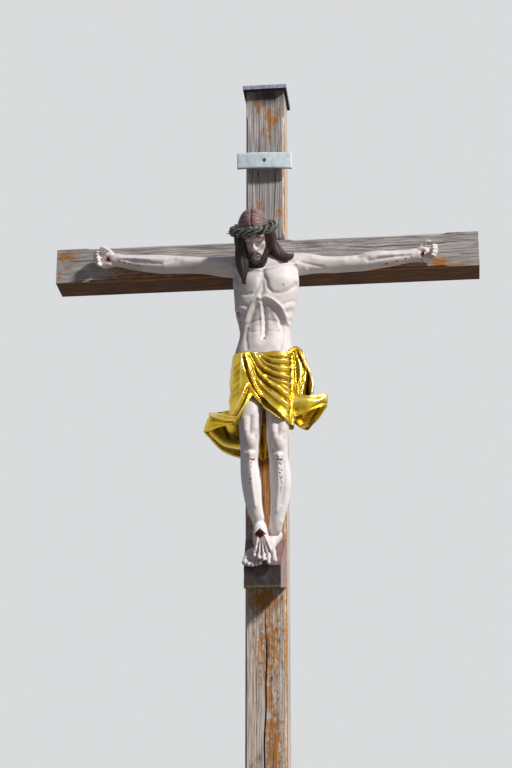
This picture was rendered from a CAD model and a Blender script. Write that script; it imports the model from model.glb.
import bpy
import numpy as np
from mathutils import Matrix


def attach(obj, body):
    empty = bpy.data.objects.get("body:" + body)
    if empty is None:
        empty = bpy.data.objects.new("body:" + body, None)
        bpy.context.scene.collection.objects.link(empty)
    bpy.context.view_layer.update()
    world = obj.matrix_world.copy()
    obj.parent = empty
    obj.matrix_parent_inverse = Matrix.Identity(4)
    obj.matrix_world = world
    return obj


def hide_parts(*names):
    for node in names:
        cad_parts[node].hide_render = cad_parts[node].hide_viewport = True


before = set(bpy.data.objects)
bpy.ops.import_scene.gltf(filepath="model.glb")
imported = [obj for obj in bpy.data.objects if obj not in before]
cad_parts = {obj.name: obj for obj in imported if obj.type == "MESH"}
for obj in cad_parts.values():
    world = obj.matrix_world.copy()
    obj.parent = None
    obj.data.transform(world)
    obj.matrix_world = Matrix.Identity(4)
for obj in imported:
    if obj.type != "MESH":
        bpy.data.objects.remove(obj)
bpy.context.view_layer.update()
mm = 0.001
noTris = np.zeros((0, 3), int)
crossFront = np.array([0.0, -85.0, 4210.0])  # the figure's own origin: post front, beam middle
rng = np.random.default_rng(7)


def toWorld(points):  # figure millimetres to metres in the shared frame
    return (np.asarray(points, float) + crossFront) * mm


# meshes from whole arrays

def makeMesh(name, points, quads, tris):
    # arrays of corners straight into Blender's own: the quads' corners first, then the triangles'
    points = np.asarray(points, np.float32).reshape(-1, 3)
    quads = np.asarray(quads, np.int32).reshape(-1, 4)
    tris = np.asarray(tris, np.int32).reshape(-1, 3)
    mesh = bpy.data.meshes.new(name)
    mesh.vertices.add(len(points))
    mesh.vertices.foreach_set("co", points.ravel())
    mesh.loops.add(quads.size + tris.size)
    mesh.loops.foreach_set("vertex_index", np.concatenate([quads.ravel(), tris.ravel()]))
    starts = np.concatenate([np.arange(len(quads)) * 4, quads.size + np.arange(len(tris)) * 3])
    mesh.polygons.add(len(starts))
    mesh.polygons.foreach_set("loop_start", starts)
    mesh.update(calc_edges=True)
    mesh.validate()
    return mesh


def makePiece(name, shape, material, nodes=(), smooth=True, marks=None):
    # a shape as a piece of the scene; each mark is an amount at every point that its material reads
    points, quads, tris = shape
    mesh = makeMesh(name, points, quads, tris)
    for key, values in (marks or {}).items():
        mesh.attributes.new(key, "FLOAT", "POINT").data.foreach_set("value", np.asarray(values, np.float32))
    mesh.polygons.foreach_set("use_smooth", np.full(len(mesh.polygons), smooth))
    mesh.materials.append(material)
    piece = bpy.data.objects.new(name, mesh)
    bpy.context.scene.collection.objects.link(piece)
    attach(piece, "root")
    if nodes:
        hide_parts(*nodes)
    return piece


def dress(material, *names):  # a CAD node keeps its mesh and gets a new material
    for name in names:
        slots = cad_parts[name].data.materials
        slots.clear()
        slots.append(material)


def join(shapes):  # several shapes as one, each one's corners counted on from the last
    points, quads, tris, start = [], [], [], 0
    for p, q, t in shapes:
        points.append(np.asarray(p).reshape(-1, 3))
        quads.append(np.asarray(q, int).reshape(-1, 4) + start)
        tris.append(np.asarray(t, int).reshape(-1, 3) + start)
        start += len(points[-1])
    return np.concatenate(points), np.concatenate(quads), np.concatenate(tris)


def gridQuads(rows, columns, closed=False):
    # quads of a grid of points; closed joins the last column to the first
    i = np.arange(rows - 1)[:, None] * columns
    j = np.arange(columns if closed else columns - 1)[None, :]
    k = (j + 1) % columns
    return np.stack([i + j, i + k, i + columns + k, i + columns + j], -1).reshape(-1, 4)


def unitGrid(rows, columns, low=0):  # two grids that run from low to 1, down the rows and along the columns
    return np.meshgrid(np.linspace(low, 1, rows), np.linspace(low, 1, columns), indexing="ij")


def fans(rows, columns):
    # triangles from a closed grid's first and last rings to two end points, which follow the grid's own
    j = np.arange(columns)
    k = (j + 1) % columns
    first, base = rows * columns, (rows - 1) * columns
    return np.concatenate([np.stack([np.full(columns, first), k, j], 1),
                           np.stack([np.full(columns, first + 1), base + j, base + k], 1)])


def smoothRows(rows, count):
    # a smooth curve through the rows: cubic between two rows, its slope at a row taken from the neighbours
    rows = np.array(rows, float)
    t = np.linspace(0, len(rows) - 1, count)
    i = np.minimum(t.astype(int), len(rows) - 2)
    f = (t - i)[:, None]
    slope = np.gradient(rows, axis=0)
    return (rows[i] * (2 * f**3 - 3 * f**2 + 1) + slope[i] * (f**3 - 2 * f**2 + f)
            + rows[i + 1] * (3 * f**2 - 2 * f**3) + slope[i + 1] * (f**3 - f**2))


def unit(v):  # vectors divided by their own length
    return v / np.maximum(np.linalg.norm(v, axis=-1, keepdims=True), 1e-9)


def tube(rows, count=40, sides=32, up=(0, 0, 1), power=2.0, rounds=3, ripple=None, blunt=1.0):
    # rows of place, half width and half depth: an ellipse carried along the curve, square to it, rounded at both ends
    r = smoothRows(rows, count)
    path, size = r[:, :3], np.maximum(r[:, 3:5], 0.2)
    along = unit(np.gradient(path, axis=0))
    turn = np.radians(90 * (np.arange(rounds, 0, -1) / (rounds + 0.5)))
    ends = []
    for end, way in ((0, -1), (-1, 1)):
        reach = size[end].min() * blunt
        p = path[end] + way * along[end] * reach * np.sin(turn)[:, None]
        ends.append((p, size[end] * np.cos(turn)[:, None], np.repeat(along[end][None], rounds, 0),
                     path[end] + way * along[end] * reach))
    path = np.concatenate([ends[0][0], path, ends[1][0][::-1]])
    size = np.concatenate([ends[0][1], size, ends[1][1][::-1]])
    along = np.concatenate([ends[0][2], along, ends[1][2]])
    side = unit(np.cross(np.asarray(up, float), along))
    top = np.cross(along, side)
    a = np.linspace(0, 2 * np.pi, sides, endpoint=False)
    c, s = np.cos(a), np.sin(a)
    c, s = np.sign(c) * abs(c) ** (2 / power), np.sign(s) * abs(s) ** (2 / power)
    grow = 1 if ripple is None else 1 + ripple(np.linspace(0, 1, len(path))[:, None], a[None, :])[..., None]
    ring = side[:, None] * (size[:, :1] * c)[..., None] + top[:, None] * (size[:, 1:] * s)[..., None]
    points = (path[:, None] + ring * grow).reshape(-1, 3)
    points = np.concatenate([points, [ends[0][3], ends[1][3]]])
    return points, gridQuads(len(path), sides, True), fans(len(path), sides)


def slab(front, back):
    # two grids of the same size joined round their edges into one closed sheet; front faces outwards
    rows, columns = front.shape[:2]
    n = rows * columns
    q = gridQuads(rows, columns)
    ring = np.concatenate([np.arange(columns), np.arange(1, rows) * columns + columns - 1,
                           (rows - 1) * columns + np.arange(columns - 2, -1, -1),
                           np.arange(rows - 2, 0, -1) * columns])
    nxt = np.roll(ring, -1)
    edge = np.stack([ring, ring + n, nxt + n, nxt], 1)
    return (np.concatenate([front.reshape(-1, 3), back.reshape(-1, 3)]),
            np.concatenate([q, q[:, ::-1] + n, edge]), noTris)


def faceNormals(points, quads):  # cross product of each quad's diagonals
    p = points[quads]
    return np.cross(p[:, 2] - p[:, 0], p[:, 3] - p[:, 1])


def normalsOf(points, quads):  # at each point the sum of its quads' normals, made one long
    face = np.repeat(faceNormals(points, quads), 4, 0)
    flat = quads.ravel()
    return unit(np.stack([np.bincount(flat, face[:, c], len(points)) for c in range(3)], 1))


def outward(shape):  # turns a closed shape's faces round if they point inwards
    points, quads, tris = shape
    q = points[quads]
    t = points[tris]
    inside = (np.einsum("ij,ij->", q[:, 0], np.cross(q[:, 1], q[:, 2]))
              + np.einsum("ij,ij->", q[:, 0], np.cross(q[:, 2], q[:, 3]))
              + np.einsum("ij,ij->", t[:, 0], np.cross(t[:, 1], t[:, 2])))
    return shape if inside >= 0 else (points, quads[:, ::-1], tris[:, ::-1])


def evenOut(points, quads, passes, share=1.0):
    # each point moves half way to the mean of its neighbours, then nearly as far back, so that forms don't shrink
    a, b = quads.ravel(), np.roll(quads, -1, 1).ravel()
    here, there = np.concatenate([a, b]), np.concatenate([b, a])
    count = np.maximum(np.bincount(here, minlength=len(points)), 1)[:, None]
    share = np.broadcast_to(np.asarray(share, float).reshape(-1, 1), (len(points), 1))
    for _ in range(passes):
        for step in (0.55, -0.5):
            mean = np.stack([np.bincount(here, points[there, c], len(points)) for c in range(3)], 1) / count
            points = points + step * share * (mean - points)
    return points


def carved(shapes, voxel):
    # closed shapes joined into one skin by a voxel remesh, all in millimetres
    points, quads, tris = join(shapes)
    mesh = makeMesh("blank", points * mm, quads, tris)
    blank = bpy.data.objects.new("blank", mesh)
    bpy.context.scene.collection.objects.link(blank)
    net = blank.modifiers.new("net", "REMESH")
    net.mode, net.voxel_size = "VOXEL", voxel * mm
    done = blank.evaluated_get(bpy.context.evaluated_depsgraph_get()).to_mesh()
    out = np.empty(len(done.vertices) * 3, np.float32)
    done.vertices.foreach_get("co", out)
    loops = np.empty(len(done.loops), np.int32)
    done.loops.foreach_get("vertex_index", loops)
    bpy.data.objects.remove(blank)
    bpy.data.meshes.remove(mesh)
    return out.reshape(-1, 3).astype(float) / mm, loops.reshape(-1, 4).astype(int)


def away(flat, line):  # distance of each flat point from a line of points
    line = np.array(line, float)
    best = np.hypot(*(flat - line[0]).T)
    for a, b in zip(line[:-1], line[1:]):
        d = b - a
        t = np.clip((flat - a) @ d / (d @ d), 0, 1)
        best = np.minimum(best, np.hypot(*(flat - a - t[:, None] * d).T))
    return best


def frontShare(normals, start=0.15):  # one where the skin looks forward, none where it looks sideways or back
    return np.clip(start - 1.1 * normals[:, 1], 0, 1)


def upright(rows):  # rows given from their height on, in the order that a tube wants
    return [(x, y, z, w, d) for z, x, y, w, d in rows]


def both(marks):  # each stroke, followed by its mirror image
    return [(amount, wide, line) for amount, wide, left in marks for line in (left, [(-x, z) for x, z in left])]


def relief(points, marks, share, sharp=2.0):
    # sum of strokes: each lifts or sinks the skin most on its line and dies away beside it, as a bell or more sharply
    lift = np.zeros(len(points))
    flat = points[:, [0, 2]]
    for height, width, line in marks:
        lift += height * np.exp(-(away(flat, line) / width) ** (sharp if height > 0 else 2.0))
    return lift * share


def stain(points, marks, share=1.0):  # the same strokes as an amount of paint from 0 to 1, firmer at their edges
    out = np.zeros(len(points))
    flat = points[:, [0, 2]]
    for amount, width, line in marks:
        out = np.maximum(out, amount * np.clip(1.8 * np.exp(-(away(flat, line) / width) ** 2) - 0.4, 0, 1))
    return out * share


# materials

def newMaterial(name, **sockets):
    material = bpy.data.materials.new(name)
    material.use_nodes = True
    shader = material.node_tree.nodes["Principled BSDF"]
    for key, value in sockets.items():
        shader.inputs[key.replace("_", " ")].default_value = value
    return material, material.node_tree, shader


def rgb(code):  # a colour as written, turned linear for the shader
    c = np.array([int(code[i:i + 2], 16) for i in (1, 3, 5)]) / 255
    return tuple(np.where(c > 0.04045, ((c + 0.055) / 1.055) ** 2.4, c / 12.92)) + (1.0,)


def feed(tree, socket, value):  # a link, a colour as written or a plain value into a socket
    if isinstance(value, bpy.types.NodeSocket):
        tree.links.new(value, socket)
    else:
        socket.default_value = rgb(value) if isinstance(value, str) else value


def add(tree, kind, inputs=None, **settings):
    made = tree.nodes.new("ShaderNode" + kind)
    for key, value in settings.items():
        setattr(made, key, value)
    for key, value in (inputs or {}).items():
        feed(tree, made.inputs[key], value)
    return made


def place(tree, scale=(1, 1, 1)):  # object coordinates, stretched
    return add(tree, "Mapping", {"Vector": add(tree, "TexCoord").outputs["Object"], "Scale": scale}).outputs[0]


def noise(tree, where, scale, detail=4.0, rough=0.55, bend=0.0):
    return add(tree, "TexNoise", {"Vector": where, "Scale": scale, "Detail": detail, "Roughness": rough,
                                  "Distortion": bend}).outputs["Fac"]


def ramp(tree, fac, stops):
    made = add(tree, "ValToRGB", {"Fac": fac})
    band = made.color_ramp
    while len(band.elements) < len(stops):
        band.elements.new(0.5)
    for element, (at, colour) in zip(band.elements, stops):
        element.position = at
        element.color = rgb(colour) if isinstance(colour, str) else (colour, colour, colour, 1)
    return made.outputs["Color"]


def mix(tree, fac, first, second):
    made = add(tree, "Mix", data_type="RGBA")
    for index, value in ((0, fac), (6, first), (7, second)):
        feed(tree, made.inputs[index], value)
    return made.outputs[2]


def maths(tree, kind, first, second=0.5, third=0.5):
    made = add(tree, "Math", operation=kind)
    for index, value in enumerate((first, second, third)):
        feed(tree, made.inputs[index], value)
    return made.outputs[0]


def paint(tree, shader, colour, rough, height, strength, depth):
    # colour, roughness and relief into the shader; without a roughness its plain value stays
    tree.links.new(colour, shader.inputs["Base Color"])
    if rough is not None:
        tree.links.new(rough, shader.inputs["Roughness"])
    made = add(tree, "Bump", {"Height": height, "Strength": strength, "Distance": depth})
    tree.links.new(made.outputs[0], shader.inputs["Normal"])


def mark(tree, name):
    return add(tree, "Attribute", attribute_name=name, attribute_type="GEOMETRY").outputs["Fac"]


woodLook = {"light": "#ded6ce", "pale": "#c4bbb4", "grey": "#8e8580", "dark": "#423a37", "ochre": "#bf7a1c",
            "brown": "#6f4416", "cream": "#e8d6c3", "tan": "#a8907b", "soot": "#1c1614"}


def woodMaterial(name, grain):
    # weathered grain: noise drawn out along the timber, with ochre stains and dark checks from the piece's marks
    material, tree, shader = newMaterial(name, Roughness=0.82)

    def drawn(squeeze):  # object coordinates squeezed along the grain, which draws a pattern out
        return place(tree, tuple(np.where(np.array(grain) > 0, squeeze, 1.0)))
    long = drawn(0.06)
    fine = noise(tree, long, 95, 6, 0.65, 0.2)
    broad = noise(tree, long, 16, 4, 0.6, 0.6)
    cloud = noise(tree, place(tree), 2.6, 4, 0.6)
    colour = ramp(tree, fine, [(0.3, woodLook["dark"]), (0.42, woodLook["grey"]), (0.6, woodLook["pale"]),
                               (0.78, woodLook["light"])])
    colour = mix(tree, ramp(tree, broad, [(0.4, 0.0), (0.72, 0.7)]), colour, woodLook["grey"])
    colour = mix(tree, ramp(tree, cloud, [(0.45, 0.0), (0.75, 0.5)]), colour, "#a39894")
    colour = mix(tree, mark(tree, "rim"), colour,
                 ramp(tree, fine, [(0.3, woodLook["tan"]), (0.6, woodLook["cream"])]))
    ragged = noise(tree, drawn(0.45), 60, 6, 0.7)
    stained = maths(tree, "MULTIPLY_ADD", mark(tree, "warm"), 0.46, -0.62)
    torn = maths(tree, "MULTIPLY_ADD", fine, 0.5, maths(tree, "MULTIPLY_ADD", ragged, 1.25, stained))
    warm = maths(tree, "MULTIPLY", ramp(tree, torn, [(0.48, 0.0), (0.56, 0.8), (0.8, 1.0)]),
                 ramp(tree, mark(tree, "warm"), [(0.1, 0.0), (0.3, 1.0)]))
    colour = mix(tree, warm, colour, ramp(tree, fine, [(0.3, woodLook["brown"]), (0.62, woodLook["ochre"])]))
    colour = mix(tree, mark(tree, "under"), colour,
                 ramp(tree, fine, [(0.35, "#2b1400"), (0.58, "#643a04"), (0.75, "#93621a")]))
    pits = noise(tree, drawn(0.5), 150, 3, 0.6)
    colour = mix(tree, ramp(tree, pits, [(0.62, 0.0), (0.72, 0.6)]), colour, woodLook["dark"])
    colour = mix(tree, mark(tree, "dark"), colour, woodLook["soot"])
    paint(tree, shader, colour, ramp(tree, fine, [(0.3, 0.95), (0.8, 0.7)]),
          maths(tree, "ADD", fine, maths(tree, "MULTIPLY", broad, 0.8)), 0.55, 0.0025)
    return material


def fleshMaterial():
    material, tree, shader = newMaterial("fleshPaint", Roughness=0.55, Coat_Weight=0.05, Coat_Roughness=0.4,
                                         Specular_IOR_Level=0.35)
    at = place(tree)
    soft, fine = noise(tree, at, 9, 4, 0.6), noise(tree, at, 140, 5, 0.6)
    colour = ramp(tree, soft, [(0.3, "#d0c3c0"), (0.52, "#e2d6d0"), (0.75, "#ede3da")])
    colour = mix(tree, ramp(tree, noise(tree, at, 34, 6, 0.7), [(0.58, 0.0), (0.72, 0.4)]), colour, "#c3a39c")
    colour = mix(tree, mark(tree, "pale"), colour, "#f6eee8")
    colour = mix(tree, mark(tree, "blush"), colour, "#c98f86")
    colour = mix(tree, mark(tree, "shade"), colour, "#6f5a55")
    edge = noise(tree, at, 170, 3, 0.6)
    blood = ramp(tree, maths(tree, "MULTIPLY_ADD", edge, 0.9, mark(tree, "blood")), [(0.74, 0.0), (0.95, 1.0)])
    colour = mix(tree, blood, colour, mix(tree, edge, "#6e0f0c", "#b3261d"))
    paint(tree, shader, colour, ramp(tree, soft, [(0.3, 0.5), (0.8, 0.68)]),
          maths(tree, "ADD", fine, soft), 0.22, 0.0015)
    return material


def hairMaterial():
    material, tree, shader = newMaterial("hairPaint", Roughness=0.55, Specular_IOR_Level=0.3)
    at = place(tree)
    colour = ramp(tree, noise(tree, at, 60, 5, 0.7), [(0.3, "#0c0506"), (0.55, "#1e0f0e"), (0.8, "#3c2421")])
    colour = mix(tree, mark(tree, "light"), colour, "#9c7a76")
    paint(tree, shader, colour, None, noise(tree, at, 260, 4, 0.7), 0.3, 0.001)
    return material


def crownMaterial():
    material, tree, shader = newMaterial("crownPaint", Roughness=0.48, Coat_Weight=0.08)
    at = place(tree)
    colour = ramp(tree, noise(tree, at, 55, 5, 0.65, 0.4),
                  [(0.3, "#090d0c"), (0.5, "#18221f"), (0.6, "#38443a"), (0.69, "#a39a80"), (0.84, "#e0d7be")])
    colour = mix(tree, mark(tree, "light"), colour, "#c9c0a8")
    paint(tree, shader, colour, None, noise(tree, at, 180, 4, 0.7), 0.4, 0.0015)
    return material


def goldMaterial():
    # leaf over a reddish ground: the laid squares differ a little in colour and gloss, and creases are rubbed darker
    material, tree, shader = newMaterial("goldLeaf", Metallic=1.0, Roughness=0.24)
    at = place(tree)
    patch, fine = noise(tree, at, 14, 4, 0.6), noise(tree, at, 120, 5, 0.65)
    colour = ramp(tree, patch, [(0.3, "#bf981a"), (0.5, "#dab42c"), (0.72, "#eed562")])
    colour = mix(tree, ramp(tree, noise(tree, at, 42, 5, 0.7), [(0.6, 0.0), (0.74, 0.4)]), colour, "#b9851d")
    tint = noise(tree, at, 8, 3, 0.6)
    colour = mix(tree, ramp(tree, tint, [(0.56, 0.0), (0.7, 0.55)]), colour, "#a89a2a")
    colour = mix(tree, ramp(tree, tint, [(0.34, 0.6), (0.46, 0.0)]), colour, "#e2a012")
    colour = mix(tree, mark(tree, "crest"), colour, "#fff0a8")
    colour = mix(tree, mark(tree, "crease"), colour, "#2a1d05")
    dull = maths(tree, "ADD", patch, maths(tree, "MULTIPLY", mark(tree, "crease"), 0.5))
    paint(tree, shader, colour, ramp(tree, dull, [(0.3, 0.16), (0.9, 0.45)]),
          maths(tree, "MULTIPLY_ADD", noise(tree, at, 55, 5, 0.7, 0.4), 1.6, maths(tree, "ADD", fine, patch)),
          0.4, 0.0022)
    return material


def plainMaterial(name, stops, scale, rough, metal=0.0, stretch=(1, 1, 1), depth=0.3, size=0.001):
    # one noise gives colour, gloss and a little relief
    material, tree, shader = newMaterial(name, Metallic=metal)
    at = place(tree, stretch)
    cloud = noise(tree, at, scale, 6, 0.65)
    paint(tree, shader, ramp(tree, cloud, stops), ramp(tree, cloud, [(0.3, rough[0]), (0.8, rough[1])]),
          noise(tree, at, scale * 4, 5, 0.7), depth, size)
    return material


def blockMaterial():
    # old red-brown paint, weathered by face: dusty pink above, greyish at the right,
    # near black in front with a mossy line
    material, tree, shader = newMaterial("blockPaint")
    at = place(tree)
    cloud, fine = noise(tree, at, 22, 5, 0.65), noise(tree, place(tree, (1, 1, 0.3)), 120, 5, 0.7)
    colour = ramp(tree, cloud, [(0.3, "#110705"), (0.5, "#24120a"), (0.7, "#3a2116")])
    colour = mix(tree, maths(tree, "MULTIPLY", mark(tree, "worn"), 0.4), colour, "#5e4e5f")
    colour = mix(tree, maths(tree, "MULTIPLY", mark(tree, "moss"), ramp(tree, fine, [(0.35, 0.3), (0.6, 1.0)])),
                 colour, "#6a6415")
    colour = mix(tree, mark(tree, "right"), colour, ramp(tree, cloud, [(0.3, "#7d615d"), (0.7, "#ab938c")]))
    colour = mix(tree, mark(tree, "top"), colour, ramp(tree, cloud, [(0.3, "#5e3f40"), (0.65, "#93706f")]))
    paint(tree, shader, colour, ramp(tree, fine, [(0.3, 0.75), (0.8, 0.45)]),
          maths(tree, "ADD", cloud, fine), 0.35, 0.0012)
    return material


lozenge = {"wide": 0.0125, "tall": 0.0145, "z": 4.738, "front": -0.115}


def boardMaterial():
    # worn white paint with a slate lozenge in the middle of its front:
    # |across| / half width + |up| / half height below one
    material, tree, shader = newMaterial("boardPaint", Roughness=0.45)
    at = place(tree)
    cloud, fine = noise(tree, at, 30, 5, 0.65), noise(tree, at, 150, 5, 0.7)
    colour = ramp(tree, cloud, [(0.3, "#b9c6c8"), (0.5, "#d4e0e1"), (0.8, "#e8efee")])
    where = add(tree, "SeparateXYZ", {"Vector": at}).outputs
    across = maths(tree, "MULTIPLY", maths(tree, "ABSOLUTE", where[0]), 1 / lozenge["wide"])
    up = maths(tree, "MULTIPLY", maths(tree, "ABSOLUTE", maths(tree, "SUBTRACT", where[2], lozenge["z"])),
               1 / lozenge["tall"])
    inside = maths(tree, "MULTIPLY", maths(tree, "LESS_THAN", maths(tree, "ADD", across, up), 1.0),
                   maths(tree, "LESS_THAN", where[1], lozenge["front"]))
    colour = mix(tree, inside, colour, ramp(tree, fine, [(0.3, "#1e262a"), (0.7, "#4a565b")]))
    colour = mix(tree, mark(tree, "worn"), colour, "#6d7480")
    paint(tree, shader, colour, ramp(tree, fine, [(0.3, 0.6), (0.8, 0.4)]), fine, 0.3, 0.001)
    return material


postWood = woodMaterial("postWood", (0, 0, 1))
beamWood = woodMaterial("beamWood", (1, 0, 0))
flesh = fleshMaterial()
hairPaint = hairMaterial()
crownPaint = crownMaterial()
gold = goldMaterial()
iron = plainMaterial("blackIron", [(0.3, "#120f0e"), (0.6, "#2b2523"), (0.85, "#55372a")], 120, (0.6, 0.42), 0.8)
capMetal = plainMaterial("capMetal", [(0.3, "#6b6e7c"), (0.5, "#8f92a2"), (0.75, "#b9bccb")], 60, (0.6, 0.45), 0.6)
capWood = plainMaterial("capWood", [(0.3, "#1a110e"), (0.6, "#35231d"), (0.85, "#4f372e")], 60, (0.9, 0.75), 0.0,
                        (0.1, 1, 1))
blockPaint = blockMaterial()
boardPaint = boardMaterial()
print("materials made")

# camera first, at the photograph's angle

cameraAt = {"place": (0.888, -9.02, 0.04), "pitch": 21.2, "yaw": 5.98, "pixels": 1950.0, "tall": 768, "sensor": 36}
lens = bpy.data.cameras.new("camera")
lens.sensor_fit, lens.sensor_height = "VERTICAL", cameraAt["sensor"]
lens.lens = cameraAt["pixels"] / cameraAt["tall"] * cameraAt["sensor"]
camera = bpy.data.objects.new("camera", lens)
camera.location = cameraAt["place"]
camera.rotation_euler = tuple(np.radians([90 + cameraAt["pitch"], 0, cameraAt["yaw"]]))
bpy.context.scene.collection.objects.link(camera)
bpy.context.scene.camera = camera

# timber: a chamfered section carried along its length

timberLook = {"step": 19.0, "column": 2.6, "sideColumn": 10, "backColumn": 14, "arris": 1.6, "zone": 34.0,
              "runout": 21, "seam": 0.4, "press": 3.0, "taper": 260, "draw": 22, "edgeWear": 0.6}


def timber(ends, look):
    # (s along, t round): a rectangle with cut corners, every point sunk by wear and by the cracks that cross it
    wide, deep, seam = look["wide"], look["deep"], look["joint"]
    runout, seamGap = timberLook["runout"], timberLook["seam"]
    rise = np.array(sorted(set(np.round(np.concatenate([
        np.arange(ends[0], ends[1], timberLook["step"]), [ends[1]],
        [s for a, b in look["stops"] for s in (a, a + runout, b - runout, b)],
        [s + d for s in seam for d in (-seamGap, seamGap)]]), 2))))
    cut = np.full(len(rise), timberLook["arris"])
    for a, b in look["stops"]:
        cut = np.maximum(cut, look["chamfer"] * np.clip(np.minimum(rise - a, b - rise) / runout, 0, 1))
    face = {"front": int(wide / timberLook["column"]), "side": int(deep / timberLook["sideColumn"]),
            "back": int(wide / timberLook["backColumn"])}
    w, d = wide / 2, deep / 2

    def run(n, a, b):  # evenly spread, but a chamfer only crowds the columns within a zone at either end
        t = np.linspace(0, 1, n + 1)
        long = np.linalg.norm(b - a, axis=1).max()
        z = timberLook["zone"] / long
        flatRow = np.clip((t - z) / (1 - 2 * z), 0, 1)
        a0, b0 = a[np.argmin(cut)], b[np.argmin(cut)]
        inner = a0 + (b0 - a0) * z, b0 - (b0 - a0) * z
        middle = inner[0] + (inner[1] - inner[0]) * flatRow[:, None]
        low, high = np.clip(1 - t / z, 0, 1), np.clip(1 - (1 - t) / z, 0, 1)
        return (middle[None] + low[None, :, None] * (a - inner[0])[:, None]
                + high[None, :, None] * (b - inner[1])[:, None])

    def at(x, y):
        return np.stack([x + 0 * cut, y + 0 * cut], 1)
    c, e = cut / np.sqrt(2), timberLook["arris"] / np.sqrt(2)  # only the front arrises are chamfered
    parts = [run(face["front"], at(-w + c, -d), at(w - c, -d)), run(face["side"], at(w, -d + c), at(w, d - e)),
             run(face["back"], at(w - e, d), at(-w + e, d)), run(face["side"], at(-w, d - e), at(-w, -d + c))]
    ring = np.concatenate(parts, 1)  # rows, round, (across, depth)
    size = [p.shape[1] for p in parts]
    out = np.concatenate([np.tile(v, (n, 1)) for v, n in zip([(0, -1), (1, 0), (0, 1), (-1, 0)], size)])
    s = rise[:, None] + 0 * ring[..., 0]
    waves = np.random.default_rng(look["seed"])
    across = ring[..., 0] + 3.1 * ring[..., 1]
    sink = np.zeros_like(s)
    for reach, height in ((0.22, 0.5), (0.5, 0.35), (1.1, 0.3)):
        a, b, c2 = waves.uniform(0, 6.28, 3)
        sink += height * (1 + np.sin(reach * across + a + 2.2 * np.sin(s * 0.0045 + b)
                                     + 1.1 * np.sin(s * 0.017 + c2)))
    dark = np.zeros_like(s)
    front = np.arange(ring.shape[1]) < size[0]
    for centre, a, b, width, depth, sway in look["cracks"]:
        line = centre + sway * np.sin(s * 0.006 + centre) + 0.35 * sway * np.sin(s * 0.023 + 2)
        within = np.clip(np.minimum(s - a, b - s) / timberLook["taper"], 0, 1)
        gape = within ** 0.6
        near = np.argmin(abs(ring[0, :size[0], 0] - centre))
        ring[..., 0] += ((line - ring[:, near:near + 1, 0])
                         * np.exp(-((ring[..., 0] - centre) / timberLook["draw"]) ** 2)
                         * front * within ** 2 * (3 - 2 * within))
        v = np.clip(1 - abs(ring[..., 0] - line) / (width * (0.35 + 0.65 * gape) + 0.01), 0, 1) * front * (gape > 0)
        sink += depth * gape * v
        dark = np.maximum(dark, np.clip(1.5 * v * gape, 0, 1))
    if seam:  # the neighbour covers this stretch of the halved joint, so its front is pressed in out of sight
        hidden = (rise > seam[0]) & (rise < seam[1])
        ring[..., 1] += timberLook["press"] * (hidden[:, None] & (ring[..., 1] < 4 - d))
    edge = np.zeros(ring.shape[1], bool)
    start = 0
    for n in size:
        edge[[start, start + n - 1]] = True
        start += n
    sink[:, edge] = np.minimum(sink[:, edge], timberLook["edgeWear"])
    ring = ring - out[None] * sink[..., None]
    return rise, ring, dark, size


def timberShape(rise, ring, axis):
    # the rings set along their axis in millimetres, closed at both ends over the middle of the end ring
    rows, columns = ring.shape[:2]
    s = np.repeat(rise[:, None], columns, 1)
    if axis == "up":
        grid = np.stack([ring[..., 0], ring[..., 1], s], -1)
    else:  # along +X the section is seen from the front with up as its across
        grid = np.stack([s, ring[..., 1], -ring[..., 0]], -1)
    points = np.concatenate([grid.reshape(-1, 3), grid[[0, -1]].mean(1)])
    return outward((points, gridQuads(rows, columns, True), fans(rows, columns)))


def patches(points, spots):
    # soft stains on the timber's front: amount, place across and up, reach across, in depth and up, in metres
    out = np.zeros(len(points))
    for amount, x, z, *reach in spots:
        out = np.maximum(out, amount * np.exp(-(((points - (x, -0.085, z)) / reach) ** 2).sum(1)))
    return out


def capped(grid):  # a mark for every ring point and the two end points
    return np.concatenate([grid.ravel(), [0, 0]])


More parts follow.
